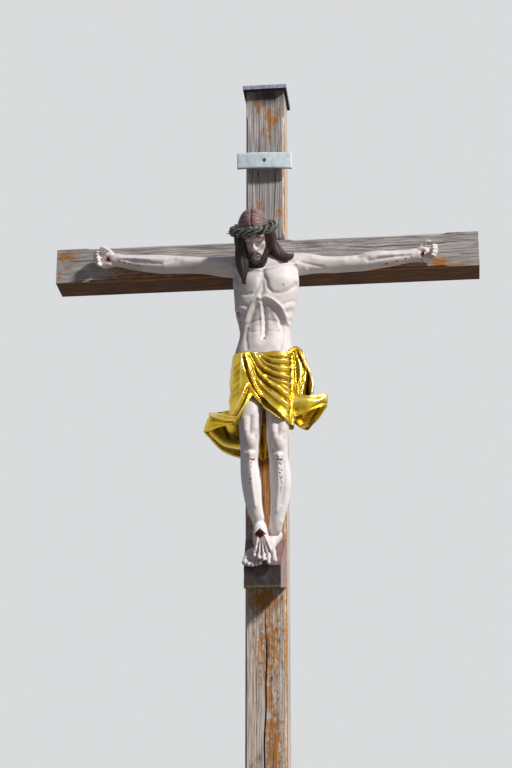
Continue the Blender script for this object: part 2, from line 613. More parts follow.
postSize = {"wide": 200, "deep": 170, "top": 5170, "chamfer": 15, "joint": (4115, 4305), "seed": 3,
            "stops": [(142, 4093), (4327, 5028)],
            "cracks": [(-5, 480, 2400, 4.4, 18, 5), (-48, 1740, 2160, 2.4, 9, 3), (-64, 2190, 2330, 2.2, 7, 4),
                       (-40, 120, 1450, 2.6, 8, 8), (55, 60, 1500, 2.2, 7, 6), (-30, 4400, 5080, 1.8, 5, 5),
                       (48, 4330, 4900, 1.8, 5, 4), (12, 4500, 4700, 1.8, 4, 3)],
            "stains": [(0.95, -0.048, 5.115, 0.022, 0.3, 0.03), (0.95, -0.035, 5.066, 0.016, 0.3, 0.05),
                       (0.9, -0.006, 5.1, 0.016, 0.3, 0.035), (1.0, 0.016, 5.035, 0.018, 0.3, 0.045),
                       (1.0, 0.03, 5.0, 0.03, 0.3, 0.035), (0.95, 0.058, 5.0, 0.02, 0.3, 0.035),
                       (0.9, 0.062, 5.043, 0.018, 0.3, 0.03), (0.9, 0.022, 4.95, 0.022, 0.3, 0.03),
                       (0.75, -0.016, 4.93, 0.012, 0.3, 0.035), (0.85, 0.024, 4.888, 0.014, 0.3, 0.035),
                       (0.8, -0.03, 4.5, 0.025, 0.3, 0.05), (0.7, 0.07, 4.46, 0.02, 0.3, 0.04),
                       (1.0, 0, 3.1, 0.13, 0.04, 0.5), (1.0, -0.01, 2.42, 0.1, 0.04, 0.08),
                       (0.76, 0.015, 2.2, 0.09, 0.04, 0.28), (0.9, 0.012, 1.98, 0.022, 0.04, 0.12),
                       (0.95, 0.035, 1.72, 0.045, 0.04, 0.3), (0.6, -0.05, 1.62, 0.05, 0.04, 0.1)],
            "knots": [(0.95, 0.01, 5.14, 0.085, 0.3, 0.05), (1.0, 0.07, 4.309, 0.03, 0.3, 0.007),
                      (1.0, 0.026, 2.05, 0.006, 0.3, 0.018), (0.55, -0.03, 1.68, 0.014, 0.3, 0.022)]}
rise, ring, dark, size = timber((0, postSize["top"]), postSize)
shape = timberShape(rise, ring, "up")
shape = (shape[0] * mm, shape[1], shape[2])
column = np.arange(ring.shape[1])[None] + 0 * rise[:, None]
rightArris = (column == size[0]) * 1.0
rim = np.where((column == size[0] - 1) | (column == size[0]), 0.75, 0)
rim = rim + np.where((column > size[0]) & (column < size[0] + size[1]), 0.6, 0)
rim = np.maximum(rim, 0.6 * np.clip((2550 - rise[:, None]) / 200, 0, 1))
warm = np.maximum(patches(shape[0], postSize["stains"]),
                  1.3 * capped(rightArris * np.clip((5040 - rise[:, None]) / 120, 0, 1)))
makePiece("postTimber", shape, postWood, ("post",), False,
          {"warm": warm, "dark": np.maximum(capped(dark), patches(shape[0], postSize["knots"])), "rim": capped(rim),
           "under": 0 * warm})

beamSize = {"long": 2150, "wide": 190, "deep": 170, "z": 4210, "chamfer": 15, "joint": (), "seed": 5,
            "stops": [(-920, -122), (122, 920)], "halved": 99,
            "cracks": [(-30, -1060, -560, 2.4, 9, 6), (-40, 400, 1060, 2.8, 9, 7), (62, -900, -200, 1.8, 5, 4),
                       (-68, -430, -250, 3.0, 8, 4), (-66, 110, 420, 2.2, 6, 4), (30, 960, 1068, 2.0, 6, 3)],
            "stains": [(0.95, -1.02, 4.265, 0.07, 0.3, 0.036), (0.7, -1.02, 4.2, 0.03, 0.3, 0.015),
                       (0.7, -1.06, 4.16, 0.02, 0.3, 0.03), (1.0, -0.69, 4.176, 0.11, 0.3, 0.022),
                       (1.0, -0.33, 4.122, 0.14, 0.3, 0.02), (0.75, -0.64, 4.14, 0.24, 0.3, 0.03),
                       (0.7, 0.64, 4.128, 0.16, 0.3, 0.02), (1.0, 0.87, 4.145, 0.07, 0.3, 0.03),
                       (0.7, 0.9, 4.12, 0.2, 0.3, 0.02)]}
rise, ring, dark, size = timber((-beamSize["long"] / 2, beamSize["long"] / 2), beamSize)
hidden = (abs(rise) < beamSize["halved"])[:, None] & (ring[..., 1] > 60)
ring[..., 1] -= timberLook["press"] * hidden
shape = timberShape(rise, ring, "across")
shape = (shape[0] * mm + np.array([0, 0, beamSize["z"] * mm]), shape[1], shape[2])
column = np.arange(ring.shape[1])[None] + 0 * rise[:, None]
below = (column >= size[0] - 1) & (column < size[0] + size[1])
lowArris = column == size[0]
under = np.where(below, 0.95, 0.0) - np.where(lowArris, 0.8, 0)
under = under + np.where(~below & (column < size[0]),
                         0.6 * np.clip((ring[..., 0] - 62) / 30, 0, 1) * (abs(rise[:, None] + 150) < 700), 0)
warm = np.maximum(patches(shape[0], beamSize["stains"]), capped(lowArris * 1.0))
makePiece("beamTimber", shape, beamWood, ("beam",), False,
          {"warm": warm, "dark": capped(dark), "rim": 0 * warm, "under": capped(under)})
dress(beamWood, "joint_pegs", "name_board_block")
print("timber made")

# trunk, arms and hands: tubes joined into one skin, then muscles as strokes

trunkRows = [  # height, middle across, middle in depth, half width, half depth
    (34, -9, -120, 46, 42), (0, -6, -106, 56, 52), (-36, 4, -90, 92, 60), (-80, 8, -90, 138, 82),
    (-130, 11, -93, 158, 97), (-190, 14, -96, 163, 103), (-270, 10, -94, 157, 100), (-335, 6, -92, 148, 95),
    (-410, 7, -86, 132, 83), (-465, 7, -84, 126, 80), (-520, 5, -86, 134, 86), (-600, 1, -94, 148, 97),
    (-700, -2, -100, 149, 101), (-760, -2, -104, 140, 98)]
armReach = [70, 130, 190, 235, 290, 350, 410, 460, 505, 560, 620, 680, 742, 772]
armDepth = [-86, -84, -76, -68, -60, -54, -51, -50, -48, -46, -43, -38, -33, -31]
armSets = {
    -1: {"z": [-84, -86, -78, -70, -60, -51, -45, -41, -37, -30, -22, -12, 2, 7],
         "deep": [60, 62, 54, 50, 43, 41, 41, 40, 42, 41, 38, 35, 30, 27],
         "tall": [50, 54, 52, 48, 43, 42, 44, 46, 48, 47, 43, 38, 33, 31], "hand": (-796, 8)},
    1: {"z": [-86, -88, -80, -78, -80, -82, -80, -77, -72, -63, -58, -50, -42, -38],
        "deep": [60, 62, 54, 50, 43, 41, 41, 40, 42, 41, 38, 34, 29, 27],
        "tall": [50, 56, 56, 50, 43, 41, 40, 41, 43, 44, 41, 36, 31, 30], "hand": (794, -37)}}
fingerSet = {"across": [27, 9, -9, -26], "long": [0.94, 1.0, 0.96, 0.78], "thick": [11, 11, 10.5, 9.5]}


def handShapes(side, x, z):
    # palm towards the viewer; each finger a tube through its four joints, half closed
    def put(rows):
        rows = np.array(rows, float)
        rows[:, 0] = x + side * rows[:, 0]
        rows[:, 2] += z
        return rows
    shapes = [tube(put([(-50, -28, 2, 27, 31), (-26, -27, 1, 24, 36), (0, -26, 1, 21, 41), (22, -24, 0, 17, 42),
                        (34, -22, 0, 13, 40)]),
                   30, 32, (0, 0, 1), 2.5),
              tube(put([(-30, -34, 14, 13, 15), (-10, -40, 22, 16, 16), (10, -46, 22, 12, 13)]), 16, 20, (0, 0, 1)),
              tube(put([(-26, -34, -20, 10, 14), (-4, -40, -26, 12, 12), (14, -40, -24, 10, 10)]), 16, 20, (0, 0, 1))]
    for up, long, thick in zip(fingerSet["across"], fingerSet["long"], fingerSet["thick"]):
        b = 24 + 34 * long
        shapes.append(tube(put([(18, -24, up, thick, thick), (b - 12, -28, up * 1.06 + 2, thick - 1, thick - 1),
                                (b, -35, up * 1.1 + 4, thick, thick),
                                (b + 11 * long, -50, up * 1.08 + 4, thick - 2, thick - 2),
                                (b + 12 * long, -62, up * 1.05 + 3, thick - 1, thick - 1),
                                (b + 3, -76, up * 0.98 + 1, thick - 3, thick - 3),
                                (b - 6, -83, up * 0.94, thick - 4, thick - 4)]),
                           30, 14, (0, 0, 1)))
    shapes.append(tube(put([(-20, -30, 24, 14, 14), (-4, -40, 42, 13, 13), (10, -48, 52, 10, 10),
                            (20, -53, 57, 11, 11), (32, -58, 59, 9, 9), (40, -60, 58, 6, 6)]), 26, 16, (0, 1, 0)))
    return shapes


skin = [tube(upright(trunkRows), 70, 64, (0, -1, 0), 2.35, 2)]
for side, arm in armSets.items():
    rows = [(side * r, y, z, min(d, -y - 1), t)
            for r, y, z, d, t in zip(armReach, armDepth, arm["z"], arm["deep"], arm["tall"])]
    skin.append(tube(rows, 90, 40, (0, 0, 1), 2.1, 2))
    skin += handShapes(side, *arm["hand"])
points, quads = carved(skin, 4.1)
loose = 1 - np.clip((abs(points[:, 0]) - 690) / 40, 0, 1)
points = evenOut(points, quads, 14, 0.12 + 0.88 * loose)
normals = normalsOf(points, quads)
front = frontShare(normals)
trunkMarks = [
    (9, 46, [(62, -205), (112, -212)]), (8, 44, [(-48, -215), (-92, -210)]),  # chest muscles
    (-6, 9, [(14, -190), (26, -216), (30, -252), (54, -280), (92, -280), (128, -262), (166, -222)]),
    (-5, 9, [(-6, -200), (-14, -250), (-38, -280), (-78, -280), (-112, -258), (-130, -230)]),
    (-7, 12, [(8, -160), (6, -215), (6, -262), (-6, -296)]),
    (9, 10, [(-10, -306), (20, -302), (46, -313), (90, -348), (108, -382), (124, -424)]),  # rib arch
    (-15, 15, [(16, -330), (44, -340), (74, -368), (90, -400), (98, -430)]),
    (-11, 9, [(12, -345), (16, -420), (13, -490)]), (6, 7, [(-6, -335), (-2, -400), (2, -490)]),
    (-9, 14, [(-30, -348), (-52, -385), (-66, -424)]), (7, 11, [(-16, -306), (-42, -325), (-70, -374), (-86, -412)]),
    (-12, 40, [(10, -380), (12, -440)]), (-9, 26, [(44, -385), (62, -430)]), (-6, 24, [(-40, -400), (-62, -450)]),
    (-4, 7, [(-4, -345), (4, -400), (8, -500)]),
    (5, 26, [(46, -470), (48, -540)]), (5, 24, [(-30, -470), (-30, -540)]),
    (-3, 7, [(14, -412), (70, -420)]), (-3, 7, [(-4, -412), (-52, -420)]), (-3, 7, [(14, -470), (80, -474)]),
    (-3, 7, [(-4, -470), (-58, -474)]), (-4, 9, [(96, -430), (102, -500), (90, -570)]),
    (-4, 9, [(-78, -430), (-82, -500), (-72, -570)]), (-9, 8, [(8, -514)]), (5, 44, [(6, -560)]),
    (-4, 7, [(100, -338), (134, -318), (166, -300)]), (-4, 7, [(118, -374), (146, -356), (170, -338)]),
    (-4, 7, [(128, -412), (150, -396), (166, -382)]), (-3, 7, [(134, -450), (152, -436)]),
    (-4, 7, [(-78, -338), (-112, -318), (-146, -300)]), (-4, 7, [(-92, -374), (-120, -356), (-148, -338)]),
    (-4, 7, [(-100, -412), (-124, -396), (-142, -382)]), (-3, 7, [(-104, -450), (-128, -436)]),
    (4, 8, [(108, -356), (160, -326)]), (4, 8, [(126, -394), (162, -366)]), (4, 8, [(-84, -356), (-138, -326)]),
    (4, 8, [(-98, -394), (-138, -366)]), (6, 8, [(6, -158), (60, -146), (110, -122), (170, -104)]),
    (6, 8, [(-8, -158), (-60, -148), (-110, -122), (-160, -104)]), (-7, 11, [(20, -136), (80, -118), (130, -98)]),
    (-7, 11, [(-24, -136), (-80, -118), (-130, -98)]), (7, 12, [(214, -128), (186, -160), (166, -200)]),
    (7, 12, [(-204, -118), (-172, -150), (-150, -196)]),  # armpit folds
    (-8, 12, [(214, -156), (196, -186)]), (-8, 12, [(-206, -148), (-182, -182)]),
    (-7, 6, [(-150, -128), (-122, -176), (-122, -215), (-134, -258)]),
    (6, 9, [(-168, -150), (-142, -190), (-140, -225)]), (3, 4, [(109, -238)]), (3, 4, [(-92, -240)]),
    (4, 16, [(250, -70), (330, -74), (400, -76)]), (4, 16, [(-250, -60), (-330, -50), (-400, -42)]),
    (-4, 7, [(196, -96), (250, -104), (300, -108)]), (-4, 7, [(-190, -92), (-250, -92), (-300, -82)]),
    (-6, 13, [(470, -58), (520, -68)]), (5, 16, [(510, -38), (600, -34)]), (-5, 13, [(-455, -30), (-490, -40)]),
    (4, 12, [(500, -66), (580, -58), (650, -50)]), (4, 12, [(-500, -30), (-580, -24), (-650, -12)]),
    (-3, 6, [(520, -84), (600, -72), (690, -56)]), (-3, 6, [(-520, -50), (-600, -40), (-690, -20)]),
    (3, 5, [(575, -58), (650, -50), (745, -40)]), (-2.6, 5, [(570, -72), (640, -64), (730, -54)]),
    (3, 5, [(-575, -22), (-650, -10), (-745, 4)]), (-2.6, 6, [(-540, -6), (-620, 5), (-720, 17)]),
    (-2.6, 5, [(-570, -36), (-640, -24), (-720, -8)])]
lift = relief(points, trunkMarks, front)
points = points + normals * lift[:, None]
points[:, 1] = np.minimum(points[:, 1], -0.3)


def runs(x, z, long, count, width=2.6, seed=1):
    # drops that ran down from a wound: short strokes with gaps, each a little aside
    pick = np.random.default_rng(seed)
    out = []
    for _ in range(count):
        a = x + pick.uniform(-6, 6)
        t = 0.0
        while t < long * pick.uniform(0.5, 1.0):
            step = pick.uniform(3, 11)
            b = a + pick.uniform(-3, 3)
            out.append((pick.uniform(0.55, 0.8), width * pick.uniform(0.6, 1.2), [(a, z - t), (b, z - t - step)]))
            t += step + pick.uniform(7, 26)
            a = b
    return out


bloodMarks = ([(0.9, 5, [(-125, -358), (-119, -366)]), (0.8, 8, [(-797, 6), (-790, 0)]),
               (0.8, 8, [(794, -40), (788, -46)]), (0.6, 3, [(8, -512)])]
              + runs(-116, -376, 150, 3, 2.4, 3) + runs(-797, -4, 36, 3, 3, 5) + runs(794, -50, 34, 3, 3, 6)
              + [(0.7, 3, [(side * a, z), (side * (a - 7), z - 4)]) for side, a, z in
                 ((-1, 742, -12), (-1, 716, -22), (-1, 690, -30), (-1, 640, -46), (1, 742, -58), (1, 712, -66),
                  (1, 668, -78), (1, 616, -92))])
blushMarks = [(0.9, 7, [(109, -238)]), (0.9, 7, [(-92, -240)]), (0.6, 6, [(8, -514)]), (0.35, 30, [(-796, 8)]),
              (0.35, 30, [(796, -37)])]
cut = stain(points, [(0.75, 4, m[2]) for m in trunkMarks if m[0] <= -6 and m[1] < 12], front)
makePiece("trunkAndArms", (toWorld(points), quads, noTris), flesh,
          ("torso", "right_arm", "left_arm", "right_hand", "left_hand"), True,
          {"blood": stain(points, bloodMarks, front > 0.1), "blush": stain(points, blushMarks, front),
           "shade": 0.35 * cut})
print("trunk made", len(quads))

# legs and feet

blockTop = {"rise": 177, "deep": 170, "z": -1484}
slope = np.arctan(blockTop["rise"] / blockTop["deep"])
blockUp = (0, -np.sin(slope), np.cos(slope))  # square off the block's top


def onSlope(x, t, off):  # a place on the foot block's top: across, down the slope and off it
    return (x, -(t * np.cos(slope) + off * np.sin(slope)), blockTop["z"] - t * np.sin(slope) + off * np.cos(slope))


legSets = {
    "right": [(-690, -70, -112, 72, 92), (-760, -68, -134, 70, 86), (-830, -62, -160, 68, 78),
              (-930, -58, -188, 60, 66), (-1000, -56, -202, 52, 58), (-1045, -56, -206, 49, 54),
              (-1095, -56, -206, 45, 50), (-1150, -59, -192, 43, 47), (-1200, -57, -178, 46, 52),
              (-1250, -52, -164, 48, 54), (-1300, -48, -152, 45, 50), (-1340, -44, -142, 41, 44),
              (-1375, -37, -130, 36, 38), (-1405, -30, -118, 33, 33), (-1430, -23, -96, 30, 30)],
    "left": [(-690, 74, -112, 72, 92), (-760, 76, -134, 70, 86), (-830, 78, -160, 68, 78), (-930, 80, -188, 61, 66),
             (-1000, 78, -202, 54, 58), (-1045, 76, -206, 52, 54), (-1095, 78, -206, 48, 50),
             (-1150, 81, -192, 46, 47), (-1200, 84, -170, 50, 52), (-1250, 85, -150, 51, 54),
             (-1300, 82, -132, 47, 49), (-1345, 77, -121, 43, 43), (-1390, 69, -110, 37, 38),
             (-1430, 60, -100, 33, 33), (-1462, 53, -84, 31, 30)]}
footSets = {"right": (1, (-22, -8, 9), (92, 96, 80, 62)), "left": (-1, (52, 6, -43), (26, 28, 22, 16))}
# each toe: how far down the slope its tip lies, its radius, and how much lower than the foot it ends
toes = {"right": [(255, 12.5, 42), (263, 9.5, 46), (254, 9, 32), (247, 8.5, 28), (229, 8, 24)],
        "left": [(242, 16, 18), (254, 11.5, 18), (258, 11, 18), (252, 10.5, 18), (242, 10, 18)]}
skin = []
for name, rows in legSets.items():
    skin.append(tube(upright(rows), 80, 40, (0, -1, 0), 2.15, 2))
for foot, (side, (x0, x1, x2), off) in footSets.items():
    spread = 3 if side > 0 else 0
    rows = [onSlope(x0, 6, off[0] - 2) + (26, 24), onSlope(x0, 22, off[0]) + (30, 29),
            onSlope(x0 + (x1 - x0) * 0.4, 70, off[1]) + (32, 31), onSlope(x1, 136, off[2]) + (37 + spread, 26),
            onSlope(x2, 176, off[3] + 4) + (43 + 2 * spread, 20),
            onSlope(x2, 206, off[3] - 4) + (41 + 3 * spread, 15)]
    skin.append(tube(rows, 40, 30, blockUp, 2.3, 3))
    for i, (tip, r, drop) in enumerate(toes[foot]):
        x = x2 + side * (36 + 3 * spread - (18 + 1.6 * spread) * i)
        skin.append(tube([onSlope(x2 + side * (29 + 2 * spread - (14.5 + spread) * i), 188, off[3] - 3)
                          + (r + 2, r + 3), onSlope(x, 214, off[3] - 5 - 0.1 * drop) + (r, r + 2),
                          onSlope(x + side * (1 + spread * (i == 0)), tip + 2 * spread - 16,
                                  off[3] - 0.6 * drop + r * 0.3) + (r - 1.5, r - 1.5),
                          onSlope(x + side * (2 + 2 * spread * (i == 0)), tip + 2 * spread, off[3] - drop + r)
                          + (r, r - 1)],
                         26, 16, blockUp, 2.1))
points, quads = carved(skin, 3.8)
low = np.clip((-1400 - points[:, 2]) / 60, 0, 1)
points = evenOut(points, quads, 12, 1 - 0.85 * low)
normals = normalsOf(points, quads)
front = frontShare(normals)
legMarks = []
for x, z in ((-50, -1080), (84, -1092)):
    legMarks += [(9, 22, [(x, z), (x, z + 14)]), (-5, 8, [(x - 30, z + 28), (x - 34, z - 8), (x - 22, z - 34)]),
                 (-5, 8, [(x + 30, z + 28), (x + 34, z - 8), (x + 22, z - 34)]), (6, 12, [(x, z - 52)]),
                 (-4, 9, [(x - 14, z - 36), (x + 14, z - 36)]), (7, 15, [(x - 22, z + 62), (x - 26, z + 120)]),
                 (7, 18, [(x + 26, z + 76), (x + 30, z + 140)]), (-4, 8, [(x, z + 44), (x + 2, z + 130)])]
legMarks += [(5, 9, [(-54, -1140), (-48, -1240), (-34, -1370)]), (5, 9, [(84, -1150), (80, -1250), (66, -1390)]),
             (-3, 9, [(-78, -1170), (-76, -1260), (-60, -1340)]), (-3, 9, [(106, -1180), (108, -1260), (92, -1360)]),
             (6, 10, [(-62, -1410)]), (6, 10, [(6, -1414)]), (6, 10, [(92, -1440)]),
             (6, 10, [(100, -1452)])]
# the bones of the upper foot's back, spread from the nail to the toes, with hollows between
rays = [[(-15 + 5.5 * i, -1514), (-30 + 18.5 * i, -1604)] for i in range(5)]
legMarks += [(7, 6.5, ray) for ray in rays]
legMarks += [(-10, 3.8, [((a[0][0] + b[0][0]) / 2, a[0][1] - 10), ((a[1][0] + b[1][0]) / 2, a[1][1])])
             for a, b in zip(rays[:-1], rays[1:])]
rayShade = [(0.9, 3.2, [((a[0][0] + b[0][0]) / 2, a[0][1] - 20), ((a[1][0] + b[1][0]) / 2, a[1][1] - 4)])
            for a, b in zip(rays[:-1], rays[1:])]
points = points + normals * relief(points, legMarks, front)[:, None]
points[:, 1] = np.minimum(points[:, 1], -0.3)
covered = np.clip((points[:, 2] + 880) / 60, 0, 1)  # drawn in under the cloth
points = points - normals * (12 * covered)[:, None]
n = np.array(blockUp)  # soles stay above the block
under = (points - np.array([0, 0, blockTop["z"]])) @ n
points = points + np.where((under < 0.5) & (points[:, 2] < -1440), 0.5 - under, 0)[:, None] * n
rayShade += [(0.85, 2.8, [(x, -1636), (x - 1, -1672)]) for x in (-69, -51, -33, -16)]  # between the lower foot's toes
legBlood = ([(0.8, 4.2, [(-52, -1158), (-41, -1162), (-32, -1157)]),
             (0.8, 4.2, [(80, -1164), (91, -1168), (100, -1163)]),
             (1.0, 5, [(-33, -1509), (-10, -1533), (14, -1508)])]
            + runs(-40, -1172, 150, 2, 2.6, 11) + runs(90, -1178, 150, 3, 2.6, 12) + runs(-8, -1520, 50, 3, 2.6, 13))
makePiece("legsAndFeet", (toWorld(points), quads, noTris), flesh,
          ("right_leg", "left_leg", "right_foot", "left_foot"), True,
          {"blood": stain(points, legBlood, front > 0.1),
           "blush": stain(points, [(0.3, 26, [(-50, -1080)]), (0.3, 26, [(84, -1092)])], front),
           "shade": stain(points, rayShade, front),
           "pale": np.clip((-1090 - points[:, 2]) / 90, 0, 1) * np.clip((points[:, 2] + 1500) / 60, 0, 1)})
print("legs made", len(quads))

# the nail through the feet: a square head on its corner, its four sides rising to a blunt point
nailLook = {"half": 22, "thick": 4, "rise": 12, "blunt": 0.18, "x": -10, "z": -1507, "tip": 0.25}
near = (abs(points[:, 0] - nailLook["x"]) < 12) & (abs(points[:, 2] - nailLook["z"]) < 16)
seat = points[near, 1].min() + 5
a = np.arange(4) * np.pi / 2
rings = [(1.0, -14), (1.0, 0), (0.94, nailLook["thick"]), (nailLook["blunt"], nailLook["rise"])]
grid = np.array([[(k * nailLook["half"] * np.cos(t), -h, k * nailLook["half"] * np.sin(t)) for t in a]
                 for k, h in rings])
grid[..., 2] = grid[..., 2] * np.cos(nailLook["tip"]) - grid[..., 1] * np.sin(nailLook["tip"])
points = np.concatenate([grid.reshape(-1, 3), grid[[0, -1]].mean(1)]) + np.array([nailLook["x"], seat, nailLook["z"]])
makePiece("footNailHead", outward((toWorld(points), gridQuads(4, 4, True), fans(4, 4))), iron, ("foot_nail",),
          False)

# head: rings from crown to chin, features as strokes, in the head's own frame, whose zero lies half way up the head;
# eyes at half its height, the nose's base half way from brow to chin, the mouth just above a third of the rest

headPose = {"place": (-32, -206, 4), "bow": 35, "tilt": -4, "turn": -4}


def turned(axis, degrees):  # the matrix that turns about one axis
    c, s = np.cos(np.radians(degrees)), np.sin(np.radians(degrees))
    i, j = {"x": (1, 2), "y": (2, 0), "z": (0, 1)}[axis]
    m = np.eye(3)
    m[i, i], m[j, j], m[i, j], m[j, i] = c, c, -s, s
    return m


headTurn = turned("z", headPose["turn"]) @ turned("y", headPose["tilt"]) @ turned("x", headPose["bow"])


def fromHead(points):  # out of the head's own frame: turned, then moved to its place
    return np.asarray(points, float) @ headTurn.T + np.array(headPose["place"], float)


headRows = [(102, 0, 14, 30, 40), (92, 0, 14, 44, 57), (70, 0, 14, 59, 75), (45, 0, 12, 65, 83), (20, 0, 10, 66, 82),
            (0, 0, 7, 64, 79), (-20, 0, 2, 61, 73), (-40, 0, -6, 57, 64), (-60, 0, -14, 51, 56),
            (-78, 0, -22, 44, 48), (-94, 0, -30, 35, 38), (-104, 0, -36, 26, 28)]
lidLine = [(-38, -3), (-27, -7), (-15, -3)]
headMarks = both([(5, 8, [(-40, 14), (-22, 20), (-8, 15)]), (-10, 13, [(-34, 2), (-20, 3)]),
                  (8, 8.5, [(-32, 1), (-22, 1)]), (-3.5, 2.6, lidLine), (5, 13, [(-42, -18)]),
                  (-5, 14, [(-36, -50)])])
headMarks += [(5, 4.2, [(-18, -62), (-6, -57), (0, -59), (6, -57), (18, -62)]),
              (6, 5, [(-14, -71), (0, -73), (14, -71)]), (-5, 2.6, [(-21, -65), (0, -66), (21, -65)]),
              (-4, 6, [(0, -82)]), (6, 14, [(0, -98)]), (-2.5, 3, [(0, -52)])]
skin = [tube(upright(headRows), 60, 56, (0, -1, 0), 2.2, 3, None, 0.35),
        tube([(0, -64, 16, 7, 8), (0, -72, 2, 7, 9), (0, -80, -16, 8, 11), (0, -88, -30, 11, 12),
              (0, -86, -38, 11, 9)], 24, 20, (0, -1, 0)),
        *(tube([(side * 11, -74, -34, 7, 8), (side * 9, -80, -37, 6, 6)], 8, 14) for side in (-1, 1)),
        tube([(0, 14, -30, 50, 50), (3, 44, -70, 50, 50), (8, 72, -106, 52, 50), (10, 90, -130, 50, 48)], 30, 40,
             (0, 1, 0))]
points, quads = carved(skin, 2.6)
points = evenOut(points, quads, 8)
normals = normalsOf(points, quads)
front = frontShare(normals, 0.1) * (points[:, 1] < 0)
points = points + normals * relief(points, headMarks, front)[:, None]
lips = stain(points, [(0.9, 5, [(-16, -63), (0, -60), (16, -63)]), (0.9, 5, [(-13, -71), (0, -73), (13, -71)])],
             front)
lids = stain(points, both([(0.9, 2.2, lidLine), (0.9, 3.4, [(-42, 17), (-24, 23), (-9, 18)])]), front)
dripSet = [(-44, 12), (-36, 22), (-27, 8), (-19, 14), (-8, 9), (1, 12), (10, 7), (19, 15), (28, 24), (37, 10),
           (45, 30)]
drips = stain(points, [(0.75, 2.4, [(x, 34), (x + 1, 34 - long)]) for x, long in dripSet]
              + [(0.7, 2.4, [(47, -20), (46, -27)]), (0.7, 2.4, [(40, -30), (41, -35)])], front)
makePiece("headAndNeck", (toWorld(fromHead(points)), quads, noTris), flesh, ("head",), True,
          {"blood": drips, "blush": np.maximum(lips, 0.3 * stain(points, both([(1, 15, [(-38, -22)])]), front)),
           "shade": lids})
print("head made", len(quads))

# hair: strands combed sideways from a parting, and locks as bundles

hairLook = {"half": (80, 97, 110), "middle": (0, 16, 38), "depth": 3.4}
u, v = unitGrid(82, 212, -1)
py = hairLook["middle"][1] + 0.992 * hairLook["half"][1] * np.sin(v * np.pi / 2)
thin = np.sqrt(np.clip(1 - ((py - hairLook["middle"][1]) / hairLook["half"][1]) ** 2, 0, 1))
reach = np.radians(np.interp(py, [-80, -72, -60, -42, -20, 20, 80, 112], [50, 66, 76, 82, 84, 88, 112, 118]))
turn = u * reach
# fine ridges that run from the parting down to the sides, in slow waves
comb = (py - 17 * turn ** 2) * 0.29 + 2.4 * np.sin(3.4 * abs(turn) + 0.03 * py)
comb = comb + 1.6 * np.sin(0.13 * py + 5.2 * abs(turn))
ridge = 0.72 * abs(np.sin(comb)) + 0.18 * abs(np.sin(2.3 * comb + 1.0)) + 0.1 * np.sin(0.35 * comb + 2 * abs(turn))
beside = turn * hairLook["half"][0] * thin + 2 * np.sin(py * 0.06)
part = np.exp(-(beside / 2.6) ** 2) * np.clip((76 - py) / 20, 0, 1)
grow = 1 + (hairLook["depth"] * ridge - 4.0 * part + 3.0 * np.exp(-((abs(turn) - 0.35) / 0.3) ** 2)) / 84


def hairPoint(k):  # an ellipsoid whose middle line runs from brow to nape, grown by k square to that line
    return np.stack([hairLook["half"][0] * thin * np.sin(turn) * k, py + 0 * turn,
                     hairLook["middle"][2] + hairLook["half"][2] * thin * np.cos(turn) * k], -1)


outer, inner = hairPoint(grow), hairPoint(0.84 + 0 * grow)
shape = outward(slab(outer, inner))
light = 1.25 * ridge - 0.12 + 1.1 * part - 0.75 * np.exp(-((beside - 6.5) / 3.0) ** 2)
light = np.concatenate([light.ravel().clip(0, 1), np.zeros(inner[..., 0].size)])
hairShapes, hairLight = [(toWorld(fromHead(shape[0])), shape[1], shape[2])], [light]


def combed(count, depth, twist=0.0, seed=0):
    # lengthwise ridges like carved strands, which drift round as they run
    return lambda t, a: (depth * (abs(np.cos(count / 2 * a + twist * t + seed)) - 0.6)
                         + 0.45 * depth * np.cos(2.3 * count / 2 * a + 4 * t + seed))


def combLight(count, rows, sides, twist, seed):
    # lighter on the ridges of a combed hank, its two end points dark
    lift = combed(count, 1.0, twist, seed)(np.linspace(0, 1, rows)[:, None],
                                           2 * np.pi * np.arange(sides)[None] / sides)
    return np.append(np.clip(lift, 0, 1).ravel(), [0, 0])


def strand(start, end, thick, sag=0.0, wave=3.0, phase=0.0, mid=None, sides=8, count=26):
    # a tapering strand from one place to another, bent by a slow wave
    t = np.linspace(0, 1, count)[:, None]
    a, b = np.array(start, float), np.array(end, float)
    m = (a + b) / 2 if mid is None else np.array(mid, float)
    path = a * (1 - t) ** 2 + 2 * m * t * (1 - t) + b * t ** 2
    path[:, 0] += wave * np.sin(9 * t[:, 0] + phase) * t[:, 0]
    path[:, 1] += wave * np.cos(7 * t[:, 0] + phase) * t[:, 0] - sag * np.sin(np.pi * t[:, 0])
    size = thick * (0.75 + 0.4 * np.sin(np.pi * np.clip(t * 1.15, 0, 1))) * (1 - 0.75 * t ** 3)
    return tube(np.concatenate([path, size, size * 0.8], 1), count, sides, (0.3, -1, 0.2), 2.0, 2)


# side hair: broad combed hanks from under the crown down to the nape, each laid over the last
sideHair = {"turns": np.radians([-24, -5, 15, 38, 62, 88]), "drop": 128}
for side in (-1, 1):
    for k, a in enumerate(sideHair["turns"]):
        x, y = side * 68 * np.cos(a * 0.8), 10 + 88 * np.sin(a)
        rows = [(x, y, 52, 13, 23), (x * 1.12, y + 3, 16, 16, 27), (x * 1.11, y + 10, -24, 18, 27),
                (x * 0.98, y + 19, -56, 17, 24), (x * 0.88, y + 26, 52 - sideHair["drop"], 11, 14)]
        shape = tube(rows, 36, 48, (side, 0.001, 0.2) if abs(a) < 0.9 else (0, 1, 0.2), 2.0, 3,
                     combed(16, 0.07, 5, k + side))
        hairShapes.append((toWorld(fromHead(shape[0])), shape[1], shape[2]))
        hairLight.append((0.04 if side < 0 else 0.5) * combLight(16, 42, 48, 5, k + side))
hairPiece = join(hairShapes)
makePiece("hairShell", hairPiece, hairPaint, ("hair",), True, {"light": np.concatenate(hairLight)})


